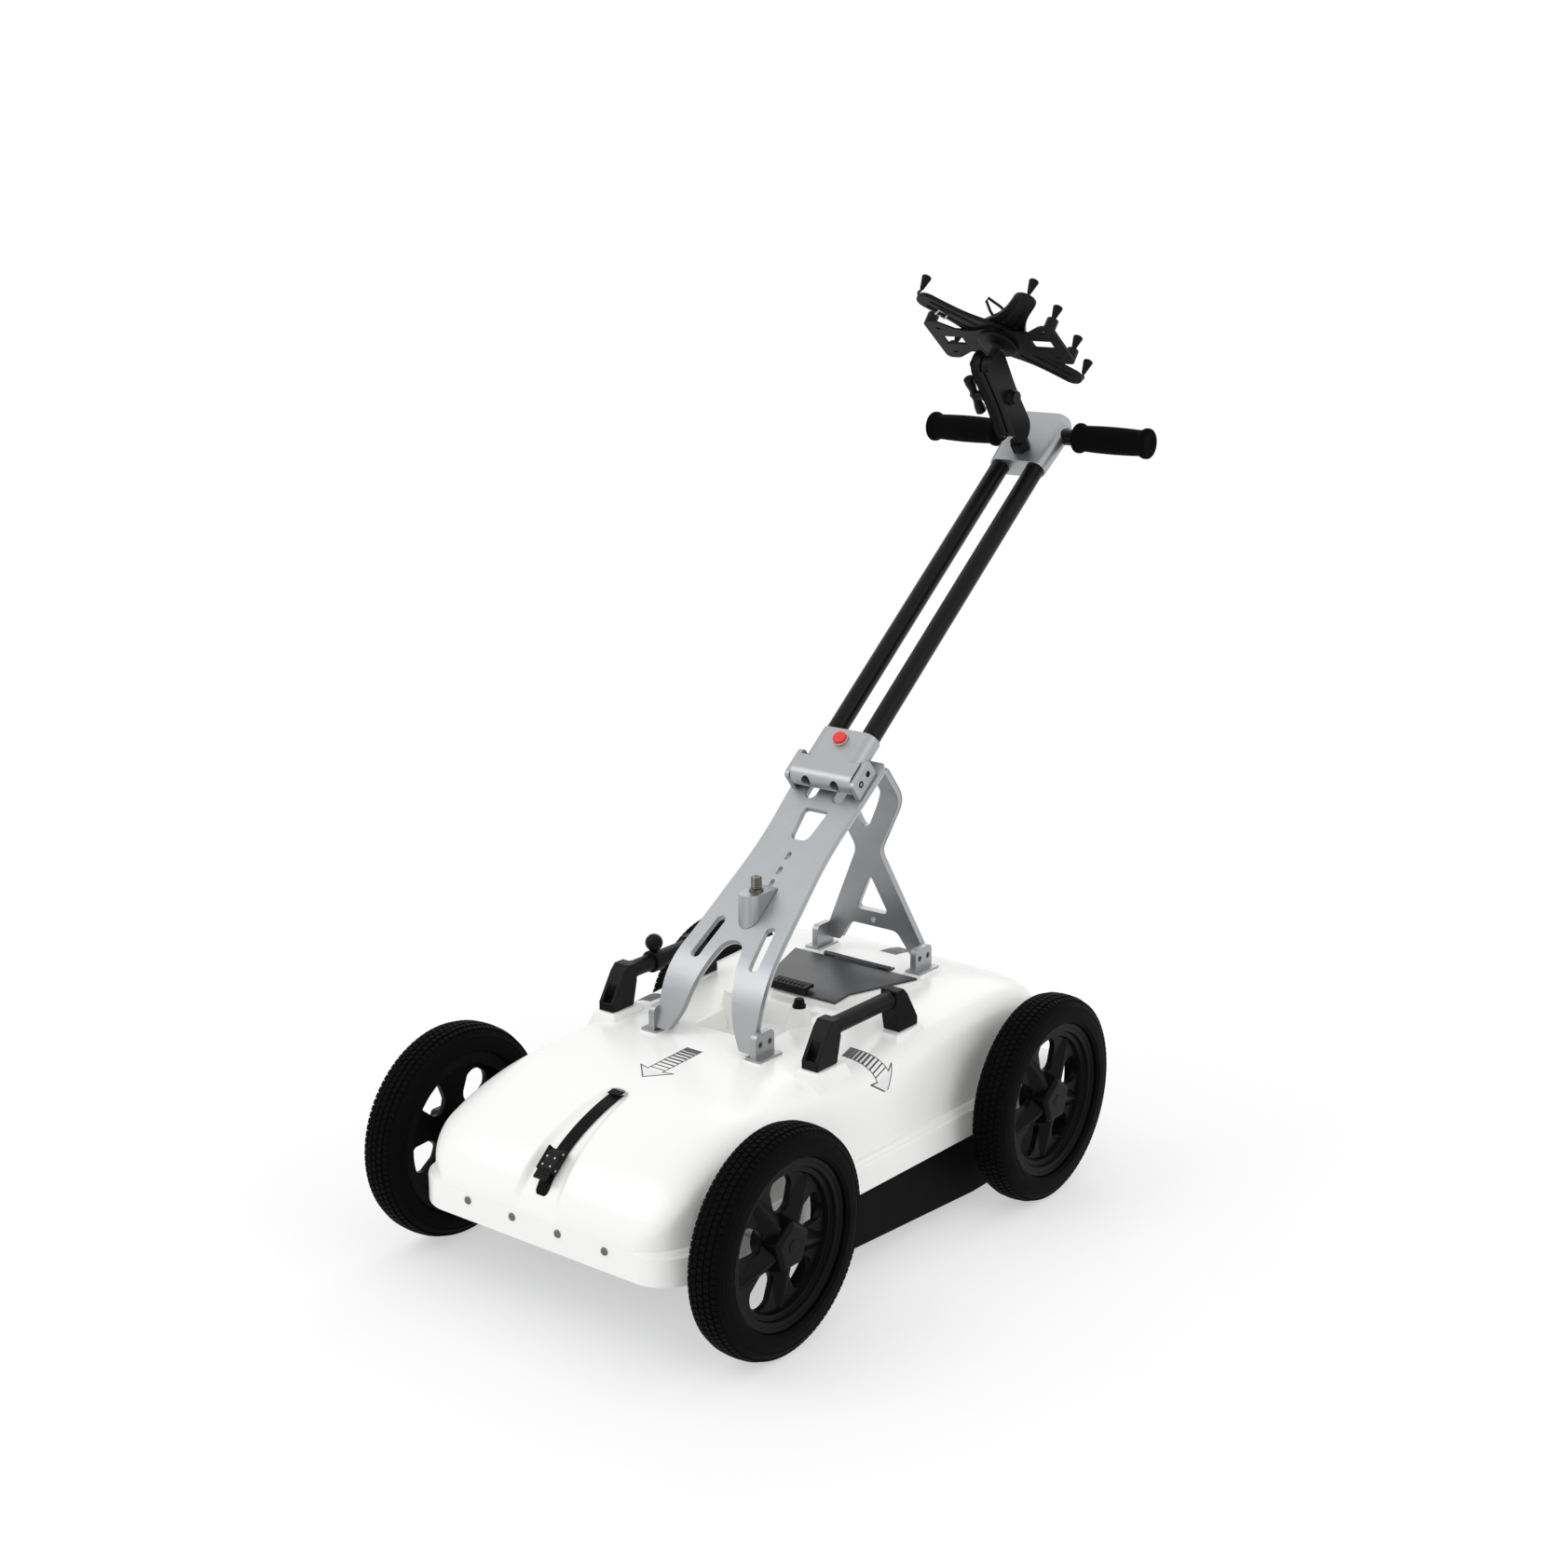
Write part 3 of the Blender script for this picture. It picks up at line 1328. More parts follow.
def front_plate(edge):
    """The front plate: a slotted sheet whose two legs bend down to the feet."""
    leg_slope, leg_foot, bend_r = 74, 286, 130
    corner = TUBES @ Vector((0, -372, -17.3))
    leg = (corner.z - leg_foot) / math.sin(math.radians(leg_slope))
    outline = mirrored(
        [
            (64, 390, 6),
            (62, 321, 20),
            (57, 225, 60),
            (74.5, 59, 40),
            (84, 0, 30),
            (84, -leg, 4),
            (63, -leg, 4),
            (45, -57, 28),
            (31, 0, 40),
            (19, 52, 14),
            (8, 62, 8),
        ]
    )
    window = rounded_corners([(21, 294, 8), (14, 239, 11), (-14, 239, 11), (-21, 294, 8)], 8, 6)
    cuts = [window]
    cuts += [capsule((0, along - 3), (0, along + 3), 3.2, 8) for along in (161, 184, 210)]
    for s in (-1, 1):
        cuts.append(capsule((s * 43.6, 85), (s * 51, 29), 7.6))
        cuts.append(capsule((s * 24, 319), (s * 24, 350), 8.5))
    return bent_plate(outline, cuts, PLATE_THICK, edge, corner, (leg_slope, TUBE_SLOPE), bend_r)


def rear_plate(edge):
    """The rear plate: a waisted sheet whose top bends forward to the front plate."""
    bend_r = 80
    foot = at(0, 302.5, 300)
    top = TUBES @ Vector((0, 8, -27.3))
    angles = (98.03, TUBE_SLOPE + 90)
    ways = [Vector((math.cos(math.radians(a)), math.sin(math.radians(a)))) for a in angles]
    gone = (top - foot).yz
    bend = gone.cross(ways[1]) / ways[0].cross(ways[1])
    corner = foot + Vector((0, *(ways[0] * bend)))
    outline = mirrored(
        [
            (65, (top - corner).length, 1),
            (65, 0, 16),
            (19, 168 - bend, 12),
            (84, 30 - bend, 14),
            (84, 11 - bend, 3),
            (65, 11 - bend, 3),
            (42, 46 - bend, 10),
        ]
    )
    triangle = rounded_corners([(28, 70 - bend), (0, 128 - bend), (-28, 70 - bend)], 9, 6)
    vee = [(5, 206), (37, 272), (37, 292), (-37, 292), (-37, 272), (-5, 206)]
    vee = rounded_corners([(x, along - bend) for x, along in vee], 8, 6)
    hole = capsule((0, 56 - bend), (0, 56.2 - bend), 3.5, 10)
    return bent_plate(outline, [triangle, vee, hole], PLATE_THICK, edge, corner, angles, bend_r)


def foot_bracket(s, screw_d):
    """One foot bracket about its place on the cover, on the side s: a base and a round-topped upright."""
    upright = rounded_corners([(-20.5, 0, 0.5), (20.5, 0, 0.5), (20.5, 36, 11), (-20.5, 36, 11)], 11, 6)
    plate = prism(upright, -10, 0)
    plate.transform(Matrix(((0, 0, s, s * 94.3), (1, 0, 0, 0), (0, 1, 0, 0), (0, 0, 0, 1))))
    low, high = sorted((s * 78, s * 105))
    base = prism(rounded_corners([(low, -25), (high, -25), (high, 25), (low, 25)], 2.5), 0, 3)
    sinks = []
    for y in (-FOOT_SCREW_AT, FOOT_SCREW_AT):
        sinks.append(rod(screw_d / 2, (s * 91.3, y, FOOT_SCREW_HIGH), (s * 99, y, FOOT_SCREW_HIGH), 28))
    return ease(carved(plate, [base], sinks), 0.7)


class CART_OT_frame(bpy.types.Operator):
    """The aluminium plates, their foot brackets and screws, and the survey antenna's stud"""

    bl_idname = "cart.frame"
    bl_label = "Frame"

    def execute(self, context):
        f = sizes(context.scene.cart_frame)
        put("front_plate_bent", front_plate(f.edge), "aluminium", "chassis", CART, ("front_frame",), 25)
        put("rear_plate_bent", rear_plate(f.edge), "aluminium", "chassis", CART, ("rear_frame",), 25)
        for name in ("gps_bracket", "hinge_lugs"):
            put_eased(name, "aluminium", "chassis", f.edge)
        brackets, spots = [], []
        for y, z in FEET:
            for s in (-1, 1):
                brackets.append((foot_bracket(s, f.screw_d), move(0, y, z)))
                for away in (-FOOT_SCREW_AT, FOOT_SCREW_AT):
                    spots.append((at(s * 93.7, y + away, z + FOOT_SCREW_HIGH), (s, 0, 0)))
        put("foot_brackets_rounded", merged(*brackets), "aluminium", "chassis", HERE, ("foot_brackets",))
        pivots = [(TUBES @ Vector((s * 61.6, t, 0)), (s, 0, 0)) for s in (-1, 1) for t in (-34.5, -15)]
        on_spots("lug_screw_heads", pivots, socket_head(4.9, 1.6, 2.6), "black", "chassis")
        head = socket_head(f.screw_d / 2 - 0.2, 2.4, 2.2)
        on_spots("foot_screw_heads", spots, head, "screw", "chassis", 1.0, ("foot_screws",))
        c = sizes(context.scene.cart_cover)
        dome_d = 11
        dome = lathe(fillet([(0, -1), (5.5, -1), (5.5, 0.5), (4.7, 2.1), (2.7, 3.0), (0, 3.3)], 0.7, 3), 32)
        spots = [(at(k * 39.5, -c.front, 139), (0, -1, 0)) for k in (-3, -1, 1, 3)]
        on_spots("skirt_screw_heads", spots, dome, "screw", "chassis", f.rivet_d / dome_d, ("skirt_screws",))
        pitch, root, crest = 2.3, 6.9, 7.9
        thread = [(0, 0), (10, 0), (10, 2.6), (9.4, 3.2)]
        for k in range(7):
            thread += [(root, 4.2 + pitch * k), (crest, 5.3 + pitch * k)]
        thread += [(root, 20.2), (6.2, 21), (3.4, 21), (3.0, 19.8), (0, 19.8)]
        seat = HERE @ move(0, 18, 469)
        put("survey_stud", lathe(thread, 48), "screw", "chassis", seat, ("gps_stud",), 24)
        dress("steel", "hinge_pins")
        return {"FINISHED"}


def strap_line(c, over, start=-273.0, end=-421.0, count=48):
    """Points of the strap's path, that far over the floor of its channel."""
    ys = start + (end - start) * np.sin(np.linspace(0, np.pi / 2, count))
    return [Vector((0, y, z)) for y, z in zip(ys, body_top(c, ys, channel_depth(c, ys) - over))]


class CART_OT_strap(bpy.types.Operator):
    """The rubber strap in its channel, its wire loop, ratchet buckle and lever"""

    bl_idname = "cart.strap"
    bl_label = "Strap"

    def execute(self, context):
        c = sizes(context.scene.cart_cover)
        path = strap_line(c, 1.6)
        self.strap(path)
        self.loop(path[0])
        put_eased("strap_buckle", "black", "chassis", 0.5)
        put_eased("buckle_lever", "black", "lever", 0.8)
        self.trim(c)
        return {"FINISHED"}

    def strap(self, path):
        """The strap along its path, its lower end rounded, with teeth across its face."""
        half_w, half_thick, end_r = 10, 1.3, 9
        # Across as shares of half the width, then height
        lower = ((-1, -0.8), (-0.92, -half_thick), (0.92, -half_thick), (1, -0.8))
        section = [*lower, *[(-x, -z) for x, z in lower]]
        rings, spots = [], []
        total = sum((b - a).length for a, b in zip(path, path[1:]))
        gone = 0.0
        for i, p in enumerate(path):
            along = (path[min(i + 1, len(path) - 1)] - path[max(i - 1, 0)]).normalized()
            up = Vector((1, 0, 0)).cross(along) * -1
            gone += (p - path[i - 1]).length if i else 0
            left = total - gone
            half = half_w * math.sqrt(max(0.06, 1 - max(0, 1 - left / end_r) ** 2))
            rings.append([p + Vector((x * half, 0, 0)) + up * z for x, z in section])
            if 6 < i < len(path) - 4:
                spots.append((HERE @ (p + up * half_thick), up))
        put("rubber_strap", skin(rings), "rubber", "chassis", HERE, ("lift_strap",))
        on_spots("strap_teeth", spots, ridge((6, 0.8, -0.3), (5.6, 0.3, 0.7)), "rubber", "chassis")

    def loop(self, top):
        """The wire loop at the strap's upper end, and the strap's fold through it."""
        ring = []
        for x, y in polygon(1, 28):
            ring.append(HERE @ (top + Vector((12.5 * x, 3 + 4.5 * y, 2.6 + 1.5 * y))))
        put("strap_wire_loop", wire(ring, 1.3, 8, True), "steel", "chassis")
        half_w, half_thick = 9.4, 0.9
        rings = []
        for y, z in ((-9, 2.6), (-3, 3.6), (1.5, 4.4), (3.6, 2.8), (2.4, 0.4), (-3, -0.2)):
            p = HERE @ (top + Vector((0, y, z)))
            corners = ((-1, -1), (1, -1), (1, 1), (-1, 1))
            rings.append([p + Vector((sx * half_w, 0, sz * half_thick)) for sx, sz in corners])
        put("strap_fold", ease(skin(rings), 0.5), "rubber", "chassis")

    def trim(self, c):
        """Bright pivot dots on the buckle's cheeks, and studs and ribs on its lever."""
        y, lever_high = -394.0, 11
        slope = math.degrees(math.atan2(float(body_top(c, y + 2, 8) - body_top(c, y - 2, 8)), 4))
        seat = HERE @ move(0, y, float(body_top(c, y, 5))) @ turn(slope, "X")
        across, up = (seat.to_3x3() @ Vector(way) for way in ((1, 0, 0), (0, 0, 1)))
        pivots = []
        for s in (-1, 1):
            for d, h in ((10.5, 9), (-12, 6)):
                pivots.append((seat @ Vector((s * 13.5, d, h)), across * s))
        dot = lathe(fillet([(0, -0.3), (1.7, -0.3), (1.7, 0.5), (0, 0.8)], 0.3, 2), 16)
        on_spots("buckle_pivots", pivots, dot, "steel", "chassis")
        studs = [(seat @ Vector((x, d, lever_high)), up) for x in (-6.5, 6.5) for d in (2, -10)]
        stud = lathe(fillet([(0, -0.3), (1.5, -0.3), (1.5, 0.6), (0, 0.9)], 0.3, 2), 16)
        on_spots("lever_studs", studs, stud, "steel", "lever")
        ribs = [(seat @ Vector((0, d, lever_high)), up) for d in (-15, -18.5, -22, -25.5)]
        on_spots("lever_ribs", ribs, ridge((8, 1.1, -0.4), (7.4, 0.5, 1.2)), "black", "lever")


class CART_OT_lid(bpy.types.Operator):
    """The lid over the battery bay, its hinge and its latch"""

    bl_idname = "cart.lid"
    bl_label = "Lid"

    def execute(self, context):
        put_eased("lid_panel", "sheet", "lid", 0.8)
        put_eased("lid_latch", "black", "latch", 1.0)
        latch_x, pitch = -14, 7
        spots = [(at(latch_x + pitch * k, 117, 305), (0, 0.06, 1)) for k in range(-3, 4)]
        on_spots("latch_ribs", spots, ridge((1.2, 5, -0.4), (0.6, 4.4, 1.0)), "black", "latch")
        dress("sheet", "lid_hinge")
        return {"FINISHED"}


class CART_OT_carry_handles(bpy.types.Operator):
    """Two carry handles on the cover, and the accessory ball on the far one"""

    bl_idname = "cart.carry_handles"
    bl_label = "Carry handles"

    def execute(self, context):
        put_eased("carry_feet", "black", "chassis", 1.5, 3)
        front, rear = CARRY_FEET
        screw_away = 18.5
        spots = []
        for s in (-1, 1):
            for y in (front - screw_away, rear + screw_away):
                spots.append((at(s * CARRY_X, y, 297), (0, 0, 1)))
        on_spots("carry_screw_heads", spots, socket_head(4, 2.4, 2), "black", "chassis")
        collar = [(12, 0, 0.5), (12.8, 0.5, 0.5), (12.8, 5, 0.5), (12, 5.5, 0.5)]
        bar = [(0, -51.8), (12, -51.8)]
        bar += [(r, y - 43.5, soft) for r, y, soft in collar] + [(r, y + 76, soft) for r, y, soft in collar]
        bar = fillet([*bar, (12, 89.8), (0, 89.8)], 1)
        for name, s in SIDES:
            seat = HERE @ move(s * CARRY_X, 0, CARRY_BAR_HIGH) @ turn(-90, "X")
            put(f"carry_grip_{name}", lathe(bar, 56), "black", "chassis", seat, (f"carry_bar_{name}",))
        self.accessory_ball()
        return {"FINISHED"}

    def accessory_ball(self):
        """A ball on a clamp round the far handle's bar, about the ball's middle."""
        over_bar = 27
        knob = lathe(ball(12.7, 0, 28), 48)
        stem = lathe(fillet([(0, -17), (8.5, -17), (8.5, -13.5), (5.6, -11), (5.6, -8), (0, -8)], 0.8), 40)
        clamp = lathe(fillet([(12.1, -9), (16, -9, 1), (16, 9, 1), (12.1, 9)], 0), 56, hollow=True)
        ears = ease(block((-8, -9, -25), (8, 9, -13.5)), 1.2)
        hub = merged(knob, stem, (clamp, move(0, 0, -over_bar) @ turn(90, "X")), (ears, move(0, 0, -16.2)))
        seat = HERE @ move(-CARRY_X, 8, CARRY_BAR_HIGH + over_bar)
        put("accessory_ball_turned", hub, "black", "chassis", seat, ("accessory_ball",))


class CART_OT_hinge(bpy.types.Operator):
    """The hinge block with its red release button"""

    bl_idname = "cart.hinge"
    bl_label = "Hinge"

    def execute(self, context):
        put_eased("hinge_block", "aluminium", "handle", 0.6, 2, 40)
        seat = TUBES @ move(0, 22, 17)
        r, bore = 10, 10.06
        ring = fillet([(bore, 0), (12, 0), (12, 3.5, 0.9), (bore, 3.5, 0.6), (bore, 0)], 0.0)
        ring = lathe(ring[:-1], 56, hollow=True)
        put("button_ring_turned", ring, "steel", "handle", seat, ("button_ring",))
        button = lathe(fillet([(0, -8), (r, -8), (r, 7), (9.2, 8), (6.5, 7.5), (0, 7.0)], 0.8), 56)
        put("release_button_dished", button, "red", "button", seat, ("release_button",))
        return {"FINISHED"}


class CART_OT_handle(bpy.types.Operator):
    """The two tubes, the head, the cross bar and the foam grips"""

    bl_idname = "cart.handle"
    bl_label = "Handle"

    def execute(self, context):
        h = sizes(context.scene.cart_handle)
        r = h.tube_d / 2
        inner, soft = r - 2, 0.4
        start, end = h.tube_from, h.tube_to
        profile = fillet([(inner, start), (r, start, soft), (r, end, soft), (inner, end)], 0)
        for name, s in SIDES:
            seat = TUBES @ move(s * h.tube_x, 0, 0) @ turn(-90, "X")
            tube = lathe(profile, 56, hollow=True)
            put(f"tube_coated_{name}", tube, "tube", "handle", seat, (f"tube_{name}",))
        put_eased("handle_head", "aluminium", "handle", 0.7, 2, 40)
        dress("tube", "cross_bar")
        for name, s in SIDES:
            seat = TUBES @ move(s * h.grip_from, h.bar_at, 0) @ turn(s * 90, "Y")
            foam = put(f"grip_foam_{name}", self.grip(h), "foam", "handle", seat, (f"grip_{name}",), 40)
        return {"FINISHED"}

    def grip(self, h):
        """A foam grip along local Z, swollen in its middle, with flanged ends and a bore for the bar."""
        long = h.grip_to - h.grip_from
        g, e, bore = h.grip_d / 2, h.flange_d / 2, h.bar_d / 2 + 0.1
        profile = [
            (bore, 0),
            (e - 1.5, 0, 1.5),
            (e, 2.5, 2),
            (e, 8, 2.5),
            (g - 0.4, 13, 5),
            (g + 0.5, 35, 12),
            (g + 0.9, long / 2, 20),
            (g + 0.4, long - 38, 12),
            (g - 0.6, long - 15, 5),
            (e, long - 9, 2.5),
            (e, long - 3, 2.5),
            (e - 2.5, long, 1.5),
            (9, long, 0.8),
            (8, long - 1.2, 0.5),
            (0, long - 1.2),
        ]
        bore_end = long - 6
        return lathe([(0, bore_end), (bore, bore_end), *fillet(profile, 1.0, 6)], 72)


def arm_half(s, ball_r):
    """One half of the ball arm on its side s: a rounded bar with a boss, its ends cupping the balls."""
    long, end_r, slot = ARM_LONG, ball_r + 0.9, 7
    outline = []
    for k in range(25):
        a = math.pi * (1 + k / 24)
        outline.append((end_r * math.cos(a), end_r * math.sin(a)))
    for k in range(1, 20):
        outline.append((end_r - 2.2 * math.sin(math.pi * k / 20) ** 2, long * k / 20))
    outline += [(-y, long - z) for y, z in outline]
    # The bar's back is rounded in steps, each (offset, distance from the arm's middle)
    flank = [(-0.6, 1.5), (0, 2.1), (0, 9.5)]
    back = [(-0.7, 13), (-2.2, 15.6), (-4.2, 17), (-6.8, 17.5)]
    bar = levels(outline, flank + back)
    boss = lathe(fillet([(0, 8), (13.4, 8), (12.6, 17), (10.8, 23), (0, 23)], 1.6), 40)
    boss.transform(move(0, long / 2, 0))
    bar = carved(bar, [boss])
    bar.transform(Matrix(((0, 0, s, 0), (1, 0, 0, 0), (0, 1, 0, 0), (0, 0, 0, 1))))
    cuts = [lathe(ball(ball_r + 0.06, z), 56) for z in (0, long)]
    cuts += [block((-slot, -30, -40), (slot, 30, 0)), block((-slot, -30, long), (slot, 30, long + 40))]
    cuts.append(block((-slot, 0, long - slot), (slot, 30, long + 38)))
    cuts.append(rod(4, (s * -3, 0, long / 2), (s * 30, 0, long / 2), 28))
    return carved(bar, (), cuts)


def arm_base(ball_r):
    """The hexagonal base of the ball arm with its neck and ball, up local Z from the handle head."""
    nut = ease(prism(polygon(15.5, 6), 17, 33), 1.3, 2)
    neck = lathe(fillet([(0, 30), (8.6, 30), (6.2, 38), (6.2, 58), (0, 58)], 1.0), 40)
    return carved(nut, [neck, lathe(ball(ball_r, BALL_HIGH), 56)])


def wing_knob():
    """The clamp's knob along local X: a tapered neck and a bar with two swollen ends."""
    neck = lathe(fillet([(0, 23.3), (9.8, 23.3), (9.4, 27), (7, 32), (7.4, 42), (0, 42)], 1.4), 40)
    bar_out, bore_r, bore_end = 46.2, 4.1, 52.6
    # Along the bar from its end to its middle, with half its width and depth there
    half = [(-33, 6.6, 6), (-31.4, 8.6, 8), (-22, 8, 8), (-9, 5.2, 6.2), (0, 7, 7)]
    rings = []
    for along, wide, deep in [*half, *[(-along, wide, deep) for along, wide, deep in half[-2::-1]]]:
        rings.append([(wide * x, along, bar_out + deep * y) for x, y in polygon(1, 24)])
    bore = lathe([(0, 10), (bore_r, 10), (bore_r, bore_end), (0, bore_end)], 32)
    shape = carved(neck, [skin(rings)], [bore])
    shape.transform(Matrix(((0, 0, -1, 0), (1, 0, 0, 0), (0, 1, 0, ARM_LONG / 2), (0, 0, 0, 1))))
    return shape


class CART_OT_device_arm(bpy.types.Operator):
    """The ball arm that carries the cradle, and its wing knob"""

    bl_idname = "cart.device_arm"
    bl_label = "Device arm"

    def execute(self, context):
        k = sizes(context.scene.cart_cradle)
        base = TUBES @ move(0, ARM_AT, 0)
        put("arm_base_turned", arm_base(k.ball_r), "black", "handle", base, ("arm_base",), 40)
        for side, s in SIDES:
            half = arm_half(s, k.ball_r)
            put(f"arm_half_{side}_moulded", half, "black", "arm", ARM, (f"arm_half_{side}",), 40)
        dress("black", "arm_bolt")
        put("wing_knob_moulded", wing_knob(), "black", "knob", ARM, ("wing_knob",), 40)
        return {"FINISHED"}


def rubber_tip(high):
    """A flared rubber tip, from its foot up local Z."""
    foot = [(0, 1), (2.6, 1), (3.1, 2)]
    head = [(7.2, high - 2.6), (7.5, high - 1.5), (7.0, high - 0.2), (0, high)]
    return lathe(fillet(foot + head, 0.7, 3), 32)


def tip_stem(reach, foot, top):
    """The bent wire that carries a tip at local X reach, from the arm's height foot up to top."""
    path = [
        (reach - 9, 0, foot),
        (reach - 2, 0, foot + 0.6),
        (reach + 2.2, 0, foot + 2.4),
        (reach + 2.6, 0, (foot + top) / 2),
        (reach + 0.6, 0, top - 2),
        (reach, 0, top),
        (reach, 0, top + 6),
    ]
    return wire(path, 1.9, 10)


def crossed_arm(k, heading, z):
    """One crossed arm of the cradle: broad at its pivot, hollow sided, grooved, a wire under each tip."""
    thick, waist, groove_r, pin_r = 6.8, 48, 3.2, 5.05
    reach = math.hypot(k.tip_x, k.tip_u)
    end = reach - k.arm_w1 + 2
    upper = []
    for t in np.linspace(-end, end, 61):
        upper.append((t, k.arm_w1 + (k.arm_w0 - k.arm_w1) * math.exp(-((t / waist) ** 2))))
    turns = np.linspace(0.2, math.pi - 0.2, 11)
    cap = [(end + k.arm_w1 * math.sin(a), k.arm_w1 * math.cos(a)) for a in turns]
    other = [(-x, -y) for x, y in cap]
    lower = [(-x, -y) for x, y in upper]
    plate = prism([*upper, *cap, *lower, *other], z, z + thick)
    slots = []
    for s in (-1, 1):
        for side in (-1, 1):
            groove = capsule((s * 44, side * 10), (s * (end - 6), side * 7.5), groove_r)
            slots += [prism(groove, z + 4, z + 12), prism(groove, z - 5, z + 1.8)]
    pin = rod(pin_r, (0, 0, z - 4), (0, 0, z + 12), 40)
    arm = ease(carved(plate, (), [*slots, pin]), 1.2, 2)
    stems = [(tip_stem(reach, z + 4, TIP_FOOT), turn(e, "Z")) for e in (0, 180)]
    return merged((merged(arm, *stems), turn(heading, "Z")))


class CART_OT_cradle(bpy.types.Operator):
    """The tablet cradle: round plate, hub, crossed arms, rubber tips, wire bail and clip"""

    bl_idname = "cart.cradle"
    bl_label = "Cradle"

    def execute(self, context):
        k = sizes(context.scene.cart_cradle)
        self.round_plate(k)
        self.hub()
        bail = [(7, -34, 12), (2, -50, 17), (0, -66, 24), (5, -71, 26), (24, -60, 19), (36, -47, 13)]
        put("cradle_bail", wire(bail, 2.1), "black", "cradle_b", CRADLE)
        corners = [(x, u) for x in (-k.side_x, k.side_x) for u in (-k.side_u, k.side_u)]
        tips = merged(*[(rubber_tip(k.tip_h), move(x, u, TIP_FOOT)) for x, u in corners])
        put("side_tips_rubber", tips, "rubber", "cradle", CRADLE, ("side_tips",), 40)
        slant = math.degrees(math.atan2(k.tip_u, k.tip_x))
        reach = math.hypot(k.tip_x, k.tip_u)
        clip = wire([(-101, 2, -0.6), (-86, 2, -0.6), (-86, 17, -0.6), (-101, 17, -0.6)], 1.7, 8, True)
        put("cradle_clip", clip, "steel", "cradle_a", CRADLE @ turn(slant, "Z"))
        for name, s, z in (("a", 1, 0.3), ("b", -1, 7.6)):
            body = f"cradle_{name}"
            arm = crossed_arm(k, s * slant, z)
            put(f"cradle_arm_{name}_ribbed", arm, "black", body, CRADLE, (f"cradle_arm_{name}",))
            ends = []
            for e in (0, 180):
                ends.append((rubber_tip(k.tip_h), turn(s * slant + e, "Z") @ move(reach, 0, TIP_FOOT)))
            names = (f"cradle_tips_{name}",)
            put(f"cradle_tips_{name}_rubber", merged(*ends), "rubber", body, CRADLE, names, 40)
        return {"FINISHED"}

    def round_plate(self, k):
        """The round plate on the arm's upper ball, with screws in its back."""
        neck_r, plate_r, face = 6.2, 31, -4
        neck = [(0, -CRADLE_HIGH), (neck_r, -CRADLE_HIGH), (neck_r, -17), (10, -11.5)]
        rim = [(29, -9), (plate_r, -7.6), (plate_r, face), (0, face)]
        disc = lathe(fillet(neck + rim, 0.8), 64)
        plate = carved(disc, [lathe(ball(k.ball_r, -CRADLE_HIGH), 56)])
        put("cradle_plate_turned", plate, "black", "cradle", CRADLE, ("cradle_plate",), 40)
        heads = [(socket_head(3.6, 2.2, 1.8), move(x, u, -8.8) @ turn(180, "X")) for x, u in DISC_SCREWS]
        put("cradle_plate_screws", merged(*heads), "screw", "cradle", CRADLE)

    def hub(self):
        """The packed hub, joined to a broad back with a window on each side."""
        half = [(110, 44), (92, 46), (52, 20), (0, 35), (-52, 20), (-92, 46), (-110, 44)]
        outline = rounded_corners([*half, *[(-x, -u) for x, u in half]], 9)
        windows = []
        for side in (-1, 1):
            window = [(side * 98, 37), (side * 60, 13), (side * 60, -13), (side * 98, -37)]
            windows.append(prism(rounded_corners(window, 5), -9, 3))
        back = carved(levels(outline, [(-1.5, -4), (0, -2.8), (0, 0)]), (), windows)
        back.transform(CRADLE)
        whole = carved(copy_of("cradle_hub"), [back])
        put("cradle_hub_broad", whole, "black", "cradle", CART, ("cradle_hub",))


def ink_line(points, wide):
    """A run of points as strips of ink, each an outline that overlaps the next."""
    strips = []
    for a, b in zip(points, points[1:]):
        a, b = Vector(a), Vector(b)
        ahead = (b - a).normalized() * wide / 2
        side = Vector((-ahead.y, ahead.x))
        start, end = a - ahead, b + ahead
        strips.append([tuple(p) for p in (start + side, end + side, end - side, start - side)])
    return strips


def arrow_marks(along, shaft, head, barb):
    """A plain arrow from its tail at (0, 0): ink outlines and the pale fill of its head.

    Its shaft is bars that thin out and spread towards an outlined head with barbs.
    """
    neck = along - head
    first, last, count = 5.2, 1.6, 10
    ink = []
    for i in range(count):
        run = i / (count - 1)
        thick = first - (first - last) * run
        start = (neck - 6) * run**1.15
        ink.append([(start, -shaft), (start + thick, -shaft), (start + thick, shaft), (start, shaft)])
    for s in (-1, 1):
        ink += ink_line([(0, s * shaft), (neck, s * shaft)], 1.1)
    tip = [(neck + 1, -shaft), (neck - 3, -barb), (along, 0), (neck - 3, barb), (neck + 1, shaft)]
    ink += ink_line(tip, 1.7)
    return ink, [tip]


